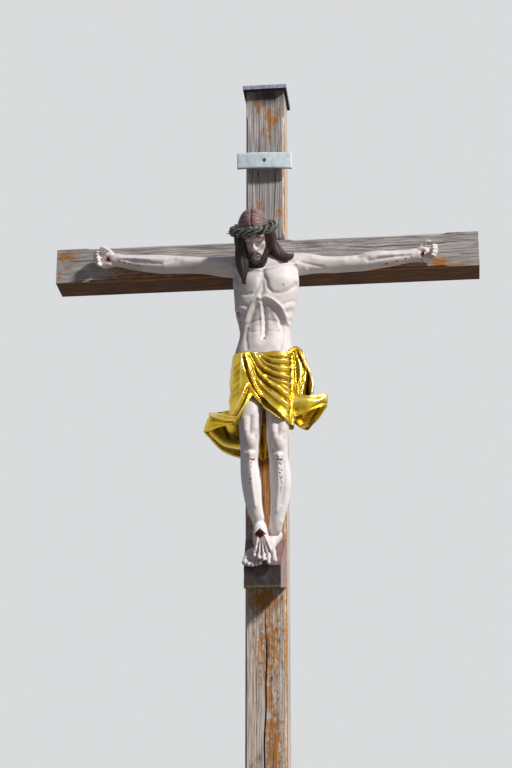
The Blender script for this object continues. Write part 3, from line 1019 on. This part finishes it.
def lockShapes(rows, count, twist, ends, seed=0):
    # combed hanks laid round a middle line and turning about it; they part at the tips
    path = smoothRows(rows, 40)
    t = np.linspace(0, 1, 40)
    made = []
    for k in range(count):
        a = 2 * np.pi * k / count + twist * t + seed
        x = path[:, 0] + 0.42 * path[:, 3] * np.cos(a) + ends * np.cos(2 * np.pi * k / count) * t ** 3
        y = path[:, 1] + 0.42 * path[:, 4] * np.sin(a)
        z = path[:, 2] - 7 * k / count * t ** 2
        slim = 0.72 * (1 - 0.5 * t ** 5)
        made.append(tube(np.stack([x, y, z, path[:, 3] * slim, path[:, 4] * slim], 1), 44, 44, (0.2, -1, 0.1), 2.0, 3,
                         combed(12, 0.09, 6, k + seed)))
    return made


rightLock = [(-84, -262, 30, 12, 15), (-93, -248, -2, 19, 21), (-98, -234, -42, 26, 23), (-96, -226, -92, 30, 24),
             (-91, -225, -146, 28, 21), (-87, -224, -194, 18, 15), (-84, -218, -236, 7, 7)]
leftLock = [(46, -158, 20, 16, 24), (64, -164, -25, 26, 27), (82, -166, -60, 31, 25), (104, -168, -81, 29, 22),
            (125, -171, -83, 24, 18), (143, -172, -77, 16, 13), (153, -172, -68, 9, 9)]
for name, rows, node, twist, ends, glow in (("rightLockStrands", rightLock, "right_lock", 2.2, 9, 0.06),
                                            ("leftLockStrands", leftLock, "left_lock", -1.6, 3, 0.75)):
    points, quads, tris = join(lockShapes(rows, 4, twist, ends))
    light = glow * np.concatenate([combLight(12, 50, 44, 6, k) for k in range(4)])
    makePiece(name, (toWorld(points), quads, tris), hairPaint, (node,), True, {"light": light})

# beard: short curls along the jaw, and a moustache drawn out to the sides
beardShapes = []
jawLine = smoothRows([(60, -8, -12), (57, -22, -46), (46, -44, -80), (26, -62, -104), (0, -70, -112)], 61)
for side in (-1, 1):
    for row in range(4):
        for k in range(17):
            t = (k + 0.5 * (row % 2)) / 17
            jaw = jawLine[int(t * 60)]
            a = np.array([side * jaw[0], jaw[1] - 2.2 * row * t, jaw[2] + (13 - 5 * t) * row - 12])
            b = a + np.array([side * rng.uniform(-3, 5) * (1 - t), -7 - 3 * t + rng.uniform(-1, 1),
                              -13 - 5 * t - rng.uniform(0, 5)])
            beardShapes.append(strand(a, b, 5.4 - 0.5 * row, 3, 1.2, k * 2.1 + row, None, 7, 9))
    for k in range(5):
        beardShapes.append(strand((side * (2 + 1.5 * k), -75 - 0.4 * k, -51 - 0.6 * k),
                                  (side * (28 - k), -60, -72 - 3 * k), 3.1, 2, 0.4, k,
                                  (side * (20 + 1.4 * k), -77, -54 - 0.8 * k), 7, 12))
points, quads, tris = join(beardShapes)
makePiece("beardCurls", (toWorld(fromHead(points)), quads, tris), hairPaint, ("beard",), True,
          {"light": 0.1 * rng.random(len(points))})

# crown: three strands that wind round each other, and thorns

crownLook = {"wide": 97, "deep": 110, "up": 57, "thick": 8.2, "wind": 17.5, "turns": 5, "thorns": 36, "steps": 380,
             "sides": 16}


def crownPath(part, k):
    # an oval ring with strand k wound round it, by an angle that grows with the way gone, a little unevenly
    a, w = 2 * np.pi * part, 2 * np.pi * (crownLook["turns"] * part + k / 3)
    w = w + 0.55 * np.sin(3 * a + 1.7 * k) + 0.3 * np.sin(7 * a + k)
    path = np.stack([(crownLook["wide"] + crownLook["wind"] * np.cos(w)) * np.cos(a),
                     (crownLook["deep"] + crownLook["wind"] * np.cos(w)) * np.sin(a) + 4,
                     crownLook["wind"] * np.sin(w) + crownLook["up"]], -1)
    return path, np.stack([np.cos(a), np.sin(a), 0 * a], -1)


for k in range(3):
    # a ring carried round the closed winding path, its bark in low ridges that run with the strand
    part = np.linspace(0, 1, crownLook["steps"], endpoint=False)
    path, out = crownPath(part, k)
    along = unit(np.roll(path, -1, 0) - np.roll(path, 1, 0))
    side = unit(np.cross(along, out))
    top = np.cross(side, along)
    a = np.linspace(0, 2 * np.pi, crownLook["sides"], endpoint=False)
    knots = 0.10 * np.maximum(0, np.sin(2 * np.pi * 19 * part + k * 2)) ** 6
    size = crownLook["thick"] * (1 + 0.07 * np.sin(5 * a[None] + 40 * part[:, None] + k)
                                 + 0.05 * np.sin(2 * np.pi * 31 * part + k)[:, None] + knots[:, None])
    ring = side[:, None] * np.cos(a)[None, :, None] + top[:, None] * np.sin(a)[None, :, None]
    points = path[:, None] + size[..., None] * ring
    quads = gridQuads(crownLook["steps"] + 1, crownLook["sides"], True) % (crownLook["steps"] * crownLook["sides"])
    makePiece(f"crownStrand{k + 1}", outward((toWorld(fromHead(points.reshape(-1, 3))), quads, noTris)), crownPaint,
              (f"crown_strand_{k + 1}",), True,
              {"light": np.clip(3.2 * np.sin(3 * a[None] + 26 * part[:, None] + 2 * np.sin(17 * part[:, None] + k)
                                             + k) - 2.3, 0, 1).ravel()})
thornShapes = []
for k in range(crownLook["thorns"]):
    part = np.array([(k + 0.3 * rng.random()) / crownLook["thorns"]])
    which = k % 3
    path, out = crownPath(part, which)
    lean = unit(out[0] + np.array([0, 0, rng.uniform(-0.9, 0.9)])
                + 0.5 * np.cross(out[0], [0, 0, 1]) * rng.uniform(-1, 1))
    base = path[0] + lean * 5
    long = rng.uniform(17, 26)
    bend = np.cross(lean, [0, 0, 1]) * rng.uniform(-4, 4)
    thornShapes.append(tube([tuple(base + lean * long * t + bend * t * t)
                             + (3.4 * (1 - 0.93 * t) ** 1.1, 3.4 * (1 - 0.93 * t) ** 1.1) for t in (0, 0.3, 0.6, 1)],
                            7, 8, (0.1, 0.2, 1), 2.0, 1))
points, quads, tris = join(thornShapes)
makePiece("crownThorns", (toWorld(fromHead(points)), quads, tris), crownPaint, ("crown_thorns",))
print("hair and crown made")

# loincloth

clothLook = {"thick": 5.0, "power": 2.5, "clear": 16.0, "lining": 12.0, "deepest": 9.0}
outline = np.array([  # height, middle across, half width, front, back
    (-590, 3, 156, -203, 0), (-640, 2, 160, -212, 2), (-720, -1, 163, -222, 0), (-790, 0, 162, -236, -10),
    (-830, 0, 163, -248, -40), (-930, 0, 158, -262, -86), (-1010, 0, 148, -266, -112),
    (-1100, 0, 140, -262, -120)], float)


def blurred(row, spread, half, ends):
    # a running mean weighted as a bell; ends says how the row goes on past its own
    bell = np.exp(-np.linspace(-spread, spread, 2 * half + 1) ** 2)
    return np.convolve(np.pad(row, half, ends), bell / bell.sum(), "valid")


def foldPaint(lift):  # how rubbed a crease is and how bright a crest, by how far the cloth sinks or lifts
    return np.clip(-lift / 8, 0, 1), np.clip(lift / 8 - 0.35, 0, 0.8)


def outlineAt(z):  # the outline's middle, half width, front and back at a height, in straight lines between its rows
    return [np.interp(-z, -outline[:, 0], outline[:, c]) for c in range(1, 5)]


hemTurn = np.array([-180, -125, -74, -50, -34, -21, -9.5, -3.7, 7.4, 24.9, 50, 72, 110, 180], float)
hemDrop = np.array([-930, -940, -962, -972, -950, -900, -838, -862, -922, -966, -984, -986, -988, -948], float)
rows, columns = 146, 264
turn = np.linspace(-1, 1, columns, endpoint=False)
turn = 180 * (turn - 0.18 * np.sin(np.pi * turn))  # columns crowd towards the front
hem = blurred(np.interp(turn, hemTurn, hemDrop), 2, 5, "wrap")
edge = -602 - 5 * np.sin(np.radians(turn) * 0.5)
v = np.linspace(0, 1, rows)[:, None]
z = edge + v * (hem - edge)
mid, half, frontAt, backAt = outlineAt(z)
a = np.radians(turn)[None, :]
s, c = np.sin(a), np.cos(a)
p = 2 / clothLook["power"]
x = mid + half * np.sign(s) * abs(s) ** p
y = (frontAt + backAt) / 2 - (backAt - frontAt) / 2 * np.sign(c) * abs(c) ** p
z = z + 0 * x
low = np.clip((-z - 760) / 200, 0, 1)
y = y + np.where(c > 0, 34 * low * np.exp(-((x - 2) / 30) ** 2), 0)
for legRows in legSets.values():  # the cloth lies over each thigh: the further forward of the two, softly joined
    lz, lx, ly, lw, ld = np.array(legRows, float).T
    cx, cy, cw, cd = (np.interp(-z, -lz, column) for column in (lx, ly, lw + 10, ld))
    rim = np.clip(1 - (abs(x - cx) / cw) ** 2.15, 0, 1) ** (1 / 2.15)
    thigh = np.where((c > 0) & (rim > 0), cy - cd * rim - clothLook["clear"] * rim, 0)
    y = np.where(c > 0, -9 * np.logaddexp(-y / 9, -thigh / 9), y)
grid = np.stack([x, y, z], -1)
quads = gridQuads(rows, columns, True)
normals = normalsOf(grid.reshape(-1, 3), quads)
if normals[columns // 2, 1] > 0:
    normals = -normals
points = grid.reshape(-1, 3)
foldMarks = [
    (8, 6, [(-97, -612), (-83, -685), (-63, -749), (-39, -806), (14, -895), (51, -935), (88, -970),
            (148, -1020)]),  # rolled hem
    (-11, 8.5, [(-84, -625), (-70, -710), (-36, -792), (2, -855), (36, -898), (88, -945), (124, -982), (153, -1010)]),
    (11, 6, [(-77, -613), (-53, -698), (-25, -785), (6, -835), (36, -869), (73, -916), (110, -957), (153, -995)]),
    (-6, 6.5, [(-65, -622), (-45, -699), (-7, -781), (35, -836), (87, -888), (153, -939)]),
    (8.5, 6, [(-62, -622), (-26, -729), (0, -773), (35, -819), (87, -867), (153, -907)]),
    (-9, 8.5, [(-58, -627), (-12, -730), (34, -783), (64, -806), (101, -843), (153, -878)]),
    (7, 6, [(10, -735), (60, -785), (110, -826), (153, -846)]),
    (-6, 5.5, [(24, -738), (70, -778), (115, -812), (153, -830)]),
    (9, 6, [(-54, -618), (-8, -705), (33, -753), (86, -792), (153, -812)]),
    (-6, 5.5, [(0, -700), (40, -746), (92, -778), (153, -795)]),
    (7, 6, [(20, -726), (60, -752), (100, -770), (153, -776)]),
    (-10, 9, [(-51, -614), (-20, -671), (18, -706), (55, -734), (96, -749), (153, -756)]),
    (9.5, 6, [(-36, -610), (2, -667), (55, -712), (96, -732), (129, -736), (159, -731)]),
    (-7, 6.5, [(-20, -622), (18, -672), (58, -695), (99, -711), (133, -709), (159, -702)]),
    (8.5, 6, [(-17, -620), (25, -664), (77, -692), (122, -689), (159, -676)]),
    (-7, 6, [(2, -629), (47, -663), (92, -671), (129, -669), (159, -660)]),
    (7.5, 6, [(2, -616), (47, -644), (92, -652), (129, -648), (158, -641)]),
    (-6, 5.5, [(10, -614), (56, -634), (100, -638), (158, -632)]),
    (6.5, 6, [(-28, -606), (47, -623), (106, -625), (158, -623)]),
    (8, 7, [(-66, -779), (-90, -847), (-115, -896), (-133, -924), (-169, -950)]),
    (-8, 7, [(-60, -801), (-79, -864), (-100, -909), (-129, -948), (-169, -970)]),
    (6, 5.5, [(-53, -838), (-72, -892), (-99, -936), (-132, -966)]), (6, 9, [(-92, -640), (-98, -720), (-96, -790)]),
    (-3.6, 3.4, [(-134, -676), (-104, -656)]), (-3.6, 3.4, [(-136, -712), (-106, -694)]),
    (-3.6, 3.4, [(-138, -753), (-106, -735)]), (-3.6, 3.4, [(-136, -794), (-104, -776)]),
    (-3.2, 3.4, [(-134, -834), (-108, -820)])]
bandMarks = [(9, 8, [(154, -600), (157, -700), (158, -860), (150, -1010)]),
             (-7, 5, [(144, -612), (146, -700), (147, -860), (140, -990)])]
share = np.clip(0.3 - 1.3 * normals[:, 1], 0, 1)
fade = np.clip((150 - points[:, 0]) / 24, 0, 1) ** 0.7
lift = np.maximum(relief(points, foldMarks, share * fade, 1.45) + relief(points, bandMarks, share),
                  -clothLook["deepest"])
# sides and back: slanting folds that fall from the hip bones
around = np.repeat(turn[None], rows, 0).ravel()
sideFold = 2.6 * np.sin(points[:, 2] * 0.085 + np.radians(around) * 3.0 + 1.5 * np.sin(points[:, 2] * 0.02))
lift = lift + sideFold * (1 - share) * np.clip((-points[:, 2] - 600) / 40, 0, 1)
outer = points + normals * lift[:, None]
outer[:, 1] = np.minimum(outer[:, 1], -1.0)
# the lining follows the folds only at its two edges; between them it is smooth, clear of the deepest fold,
# and has fewer rows
step = np.minimum(np.arange(rows), np.arange(rows)[::-1])
follow = np.repeat(np.exp(-(step / 5.0) ** 2), columns)
inner = points + normals * (lift * follow - clothLook["lining"] * (1 - follow) - clothLook["thick"])[:, None]
inner[:, 1] = np.minimum(inner[:, 1], -0.5)
keep = np.flatnonzero((step < 10) | (np.arange(rows) % 6 == 0))
inner = inner.reshape(rows, columns, 3)[keep].reshape(-1, 3)
n = rows * columns
rim = np.arange(columns)
rimNext = (rim + 1) % columns
top = np.stack([rim, rimNext, rimNext + n, rim + n], 1)
last, lastInner = (rows - 1) * columns, n + (len(keep) - 1) * columns
bottom = np.stack([last + rim, lastInner + rim, lastInner + rimNext, last + rimNext], 1)
lining = gridQuads(len(keep), columns, True)[:, ::-1] + n
shape = outward((np.concatenate([outer, inner]), np.concatenate([quads, lining, top[:, ::-1], bottom[:, ::-1]]),
                 noTris))
crease, crest = foldPaint(lift)
makePiece("clothWrap", (toWorld(shape[0]), shape[1], shape[2]), gold, ("loincloth_wrap",), True,
          {"crease": 0.85 * np.concatenate([crease, np.full(len(inner), 0.3)]),
           "crest": np.concatenate([crest, np.zeros(len(inner))])})


def freeSheet(name, front, nodes, thick, crease, crest=None):
    # a curved sheet given as a grid, thickened along its own normals
    rows, columns = front.shape[:2]
    normals = normalsOf(front.reshape(-1, 3), gridQuads(rows, columns)).reshape(front.shape)
    a, b = front + normals * thick / 2, front - normals * thick / 2
    a[..., 1], b[..., 1] = np.minimum(a[..., 1], -0.4), np.minimum(b[..., 1], -0.2)
    points, quads, tris = outward(slab(a, b))
    c, b = (np.concatenate([part.ravel(), part.ravel()]) for part in (crease, 0 * crease if crest is None else crest))
    return makePiece(name, (toWorld(points), quads, tris), gold, nodes, True, {"crease": c, "crest": b})


# fall and its knot: one pleated sheet that comes over the roll at the hip and opens downwards
u, v = unitGrid(130, 90)
line = smoothRows([(-604, -92, 152, 176), (-582, -108, 148, 182), (-570, -136, 146, 188), (-580, -158, 148, 196),
                   (-612, -164, 151, 206), (-660, -162, 155, 221), (-710, -163, 157, 236), (-760, -165, 159, 249),
                   (-812, -164, 161, 246)], 90)
down = np.clip((v - 0.3) / 0.7, 0, 1)
# each pleat: height, half width, and where its middle lies across the sheet as it falls
fallPleats = [(1.0, 0.10, [0.3, 0.27, 0.47, 0.41, 0.24, 0.22]), (1.1, 0.09, [0.7, 0.75, 0.88, 0.72, 0.45, 0.38]),
              (1.25, 0.08, [1.0, 1.0, 1.05, 1.0, 0.95, 0.93]), (0.5, 0.05, [0.05, 0.04, 0.08, 0.06, 0.04, 0.04]),
              (-1.2, 0.09, [0.5, 0.5, 0.66, 0.86, 0.66, 0.66])]
pleat = sum(h * np.exp(-((u - np.interp(v, [0, 0.45, 0.6, 0.73, 0.88, 1], at)) / w) ** 2) for h, w, at in fallPleats)
pleat = pleat + 0.07 * np.sin(2 * np.pi * (9 * u + 0.6 * v)) * (1 - 0.5 * down)
x = line[None, :, 2] + (line[None, :, 3] - line[None, :, 2]) * (u - 0.018 * np.sin(2 * np.pi * 3 * u) * down)
y = line[None, :, 1] - (3.5 + 15 * down) * (pleat - 0.35) - 12 * np.sin(np.pi * u) * down
y = y + 26 * np.clip((u - 0.93) / 0.07, 0, 1) ** 2
z = line[None, :, 0] - 14 * np.sin(np.pi * (0.15 + u)) * down ** 2 + 5 * np.sin(13 * u) * down ** 3
freeSheet("clothFall", np.stack([x, y, z], -1), ("loincloth_fall", "loincloth_knot"), 5.0,
           0.85 * np.clip(0.5 - pleat, 0, 0.5) / 0.5 * (0.3 + 0.7 * down), 0.8 * np.clip(pleat - 0.75, 0, 0.5) / 0.5)
points, quads, tris = tube([(128, -196, -612, 7, 7), (140, -184, -592, 10, 9), (154, -168, -576, 11, 10),
                            (172, -146, -568, 11, 10), (188, -118, -574, 10, 9), (196, -94, -592, 7, 7)],
                           70, 48, (0, -1, 0.3), 2.0, 3,
                           lambda t, a: 0.12 * np.cos(5 * a + 16 * t) + 0.05 * np.cos(11 * a - 9 * t))
points[:, 1] = np.minimum(points[:, 1], -1.0)
shape = outward((points, quads, tris))
makePiece("clothRoll", (toWorld(shape[0]), shape[1], shape[2]), gold, (), True,
          {"crease": np.zeros(len(points)), "crest": np.zeros(len(points))})

# the two free ends: a sheet carried round an oval in plan, from the front round the outer end to the back,
# with heights of its top and its hem by the turn; it is open below, so that one looks up into it
endSets = {
    "clothBillow": {"side": 1, "mid": (150, -130), "reach": (150, 152), "deep": 76, "node": "loincloth_billow",
                    "tops": [(-95, -812), (-62, -834), (-44, -834), (-24, -820), (-8, -832), (6, -848), (45, -832),
                             (95, -815)],
                    "hems": [(-95, -944), (-60, -916), (-40, -888), (-6, -856), (20, -872), (35, -900), (65, -965),
                             (78, -950), (95, -918)],
                    "folds": [(6, 0.20, [(-95, 0.30), (-50, 0.36), (-10, 0.2)]),
                              (-5, 0.16, [(-95, 0.74), (-50, 0.78), (-14, 0.6)]),
                              (-10, 0.10, [(30, 0.1), (48, 0.5), (58, 1.0)]),
                              (9, 0.07, [(40, 0.2), (62, 0.6), (75, 1.0)]),
                              (-9, 0.09, [(72, 0.0), (84, 0.6), (90, 1.0)]),
                              (8, 0.06, [(10, 0.5), (40, 0.75), (62, 0.85)])],
                    "curl": (-14, 14, 10)},
    "clothFlyingEnd": {"side": -1, "mid": (-110, -148), "reach": (146, 172), "deep": 92,
                       "node": "loincloth_flying_end",
                       "tops": [(-95, -938), (-76, -932), (-60, -922), (-35, -918), (0, -900), (30, -868), (60, -846),
                                (95, -846)],
                       "hems": [(-95, -948), (-85, -966), (-75, -984), (-35, -998), (0, -974), (30, -1002),
                                (60, -1062), (95, -1104)],
                       "folds": [(8, 0.09, [(-34, 0.03), (-60, 0.42), (-95, 0.75)]),
                                 (-6, 0.07, [(-40, 0.3), (-66, 0.66), (-95, 0.95)]),
                                 (6, 0.07, [(-48, 0.02), (-70, 0.12), (-95, 0.3)]),
                                 (-9, 0.10, [(8, 0.2), (30, 0.3), (48, 0.2)]),
                                 (-12, 0.10, [(34, 0.0), (50, 0.35), (60, 0.55)]),
                                 (10, 0.08, [(46, 0.0), (62, 0.4), (66, 0.6)]),
                                 (-14, 0.13, [(38, 0.62), (66, 0.66), (95, 0.6)]),
                                 (10, 0.07, [(30, 0.82), (60, 0.84), (95, 0.80)]),
                                 (-8, 0.08, [(72, 0.0), (82, 0.3), (88, 0.5)])],
                       "curl": (-36, 15, 9)}}
for name, look in endSets.items():
    u, v = unitGrid(150, 68)
    turn = 190 * u - 95
    a, swell = np.radians(turn), np.sin(np.pi * v)
    top, low = (blurred(np.interp(turn[:, 0], *np.array(look[key], float).T), 2.2, 8, "edge")[:, None]
                for key in ("tops", "hems"))
    flat = np.stack([turn.ravel() / 95, v.ravel()], 1)
    lift = sum(h * np.exp(-(away(flat, [(t / 95, w) for t, w in line]) / wide) ** 2)
               for h, wide, line in look["folds"]).reshape(u.shape)
    lift = lift + 2.2 * np.sin(5 * a + 9 * v) * swell
    at, out, up = look["curl"]
    tip = np.exp(-((turn - at) / 15) ** 2 - (v / 0.22) ** 2)
    reach = look["reach"][0] + (look["reach"][1] - look["reach"][0]) * v + 6 * swell + lift + out * tip
    deep = look["deep"] + 8 * swell + lift - 20 * np.exp(-(u / 0.12) ** 2)  # it comes out of the wrap
    front = np.stack([look["mid"][0] + look["side"] * reach * np.cos(a),
                      look["mid"][1] + deep * np.sin(a) - 22 * v * np.maximum(0, np.sin(a)),
                      top + (low - top) * v + up * tip + 3 * np.sin(4 * a) * v], -1)
    rim = 5.0 + 5.5 * np.exp(-((1 - v) / 0.05) ** 2) + 4 * np.exp(-(v / 0.05) ** 2)
    crease, crest = foldPaint(lift)
    freeSheet(name, front, (look["node"],), rim[..., None], 0.8 * crease, crest)

# the strip that hangs behind the legs
u, v = unitGrid(46, 44)
wide = np.interp(v, [0, 0.55, 1], [58, 40, 26])
back = np.stack([2 + (u - 0.5) * 2 * wide - 2 * v,
                 -24 - 9 * np.sin(2 * np.pi * 2.5 * u) * (1 - 0.3 * v) - 6 * np.sin(np.pi * u),
                 -800 - v * (284 + 10 * np.sin(5 * u))], -1)
freeSheet("clothBack", back, ("loincloth_back",), 6.0, 0.4 * np.clip(np.sin(2 * np.pi * 2.5 * u), 0, 1))
print("loincloth made")

# foot block: a rounded box bent to the block's eight corners

blockLook = {"half": (100, 85, 100), "round": 3.0, "back": (100, 2483, 2726), "front": (88, 2438, 2549),
             "depth": (-255, -85), "dent": 0.8, "grain": 26}
shapes = []
for axis in range(3):
    for end in (-1, 1):
        half = np.array(blockLook["half"], float)
        i, j = [k for k in range(3) if k != axis]
        lines = [np.concatenate([[-1, -0.995, -0.985], np.linspace(-0.965, 0.965, blockLook["grain"]),
                                 [0.985, 0.995, 1]]) * half[k] for k in (i, j)]
        p = np.zeros((len(lines[0]), len(lines[1]), 3))
        p[..., i], p[..., j] = np.meshgrid(*lines, indexing="ij")
        p[..., axis] = end * half[axis]
        quads = gridQuads(*p.shape[:2])
        shapes.append((p, quads if (end > 0) == (axis != 1) else quads[:, ::-1], noTris))
points, quads, _ = join(shapes)
points, same = np.unique(np.round(points, 3), axis=0, return_inverse=True)
quads = same.ravel()[quads]
half = np.array(blockLook["half"], float)
cube = points / half
core = np.clip(points, blockLook["round"] - half, half - blockLook["round"])
points = core + blockLook["round"] * unit(points - core)
ripple = blockLook["dent"] * (np.sin(0.11 * points[:, 0] + 0.05 * points[:, 2])
                              + np.sin(0.07 * points[:, 2] + 1.3 * np.sin(0.06 * points[:, 0]))
                              + 0.6 * np.sin(0.23 * points[:, 0] + 0.19 * points[:, 1]))
points = points - unit(points - core * 0.98) * (1.6 + ripple)[:, None] * 0.5
s, t, w = (points / half).T
back = (t + 1) / 2
wide, low, high = (blockLook["front"][k] * (1 - back) + blockLook["back"][k] * back for k in range(3))
points = np.stack([s * wide, blockLook["depth"][0] * (1 - back) + blockLook["depth"][1] * back - 0.3,
                   low + (high - low) * (w + 1) / 2], 1)
front = cube[:, 1] < -0.99
makePiece("footBlockPainted", outward((points * mm, quads, noTris)), blockPaint, ("foot_block",), True,
          {"top": (cube[:, 2] > 0.99) * 1.0, "right": (cube[:, 0] > 0.99) * 1.0,
           "moss": front * np.exp(-((cube[:, 2] + 0.85) / 0.075) ** 2),
           "worn": front * np.exp(-((cube[:, 0] - 0.2) / 0.18) ** 2 - ((cube[:, 2] - 0.1) / 0.6) ** 2)})
print("foot block made")

# name board: a slightly bowed sheet with eased edges, hung a little askew

boardLook = {"half": (141, 46), "thick": 10, "front": -137, "bow": 9, "askew": 2.4, "z": 4738, "ease": 2.5}
lines = [np.concatenate([[-1, -0.994], np.linspace(-0.98, 0.98, n), [0.994, 1]]) for n in (36, 12)]
s, t = np.meshgrid(*lines, indexing="ij")
edge = np.minimum((1 - abs(s)) * boardLook["half"][0], (1 - abs(t)) * boardLook["half"][1])
ease = boardLook["ease"] * (1 - np.clip(edge / boardLook["ease"], 0, 1)) ** 2
x, z = s * boardLook["half"][0], t * boardLook["half"][1]
askew = np.tan(np.radians(boardLook["askew"]))
sheet = [np.stack([x, boardLook["front"] + boardLook["bow"] * s ** 2 + depth, boardLook["z"] + z - x * askew], -1)
         for depth in (ease, boardLook["thick"] - ease)]
points, quads, tris = outward(slab(*sheet))
worn = np.concatenate([(0.75 * (t < -0.97)).ravel()] * 2)
makePiece("nameBoardPainted", (points * mm, quads, tris), boardPaint, ("name_board",), True,
          {"worn": worn})

# nails and cap: CAD nodes that keep their shapes

dress(iron, "right_hand_nail", "left_hand_nail")
dress(capWood, "cap_board")
dress(capMetal, "cap_sheet")

# stage


def seenRay(tree):  # one for what the camera sees, straight or in a gloss
    path = add(tree, "LightPath").outputs
    return maths(tree, "MAXIMUM", path["Is Camera Ray"], path["Is Glossy Ray"])


bpy.ops.mesh.primitive_plane_add(size=60, location=(0, 0, 0))
floor = bpy.context.object
floor.name = "floor"
material, tree, shader = newMaterial("floorPaint", Roughness=0.9)
tree.links.new(mix(tree, seenRay(tree), "#8a877f", "#dcdad7"), shader.inputs["Base Color"])
floor.data.materials.append(material)
world = bpy.data.worlds.new("world")
bpy.context.scene.world = world
world.use_nodes = True
tree = world.node_tree
tree.nodes["Background"].inputs["Strength"].default_value = 1.0
tree.links.new(mix(tree, seenRay(tree), "#4f566e", "#d9dbdd"), tree.nodes["Background"].inputs["Color"])
lampAim = (0, 0, 3.8)
lampSets = [("key", (36.0, -23.4, 33.9), 5.6, 34000), ("fill", (-6.5, -6.0, 5.0), 5.0, 8)]
for name, at, size, power in lampSets:
    data = bpy.data.lights.new(name, "AREA")
    data.size, data.energy = size, power
    lamp = bpy.data.objects.new(name, data)
    lamp.location = at
    aim = np.array(lampAim) - np.array(at)
    lamp.rotation_euler = (np.arctan2(np.hypot(aim[0], aim[1]), -aim[2]), 0, np.arctan2(aim[1], aim[0]) - np.pi / 2)
    bpy.context.scene.collection.objects.link(lamp)
bpy.context.scene.view_settings.view_transform = "Standard"
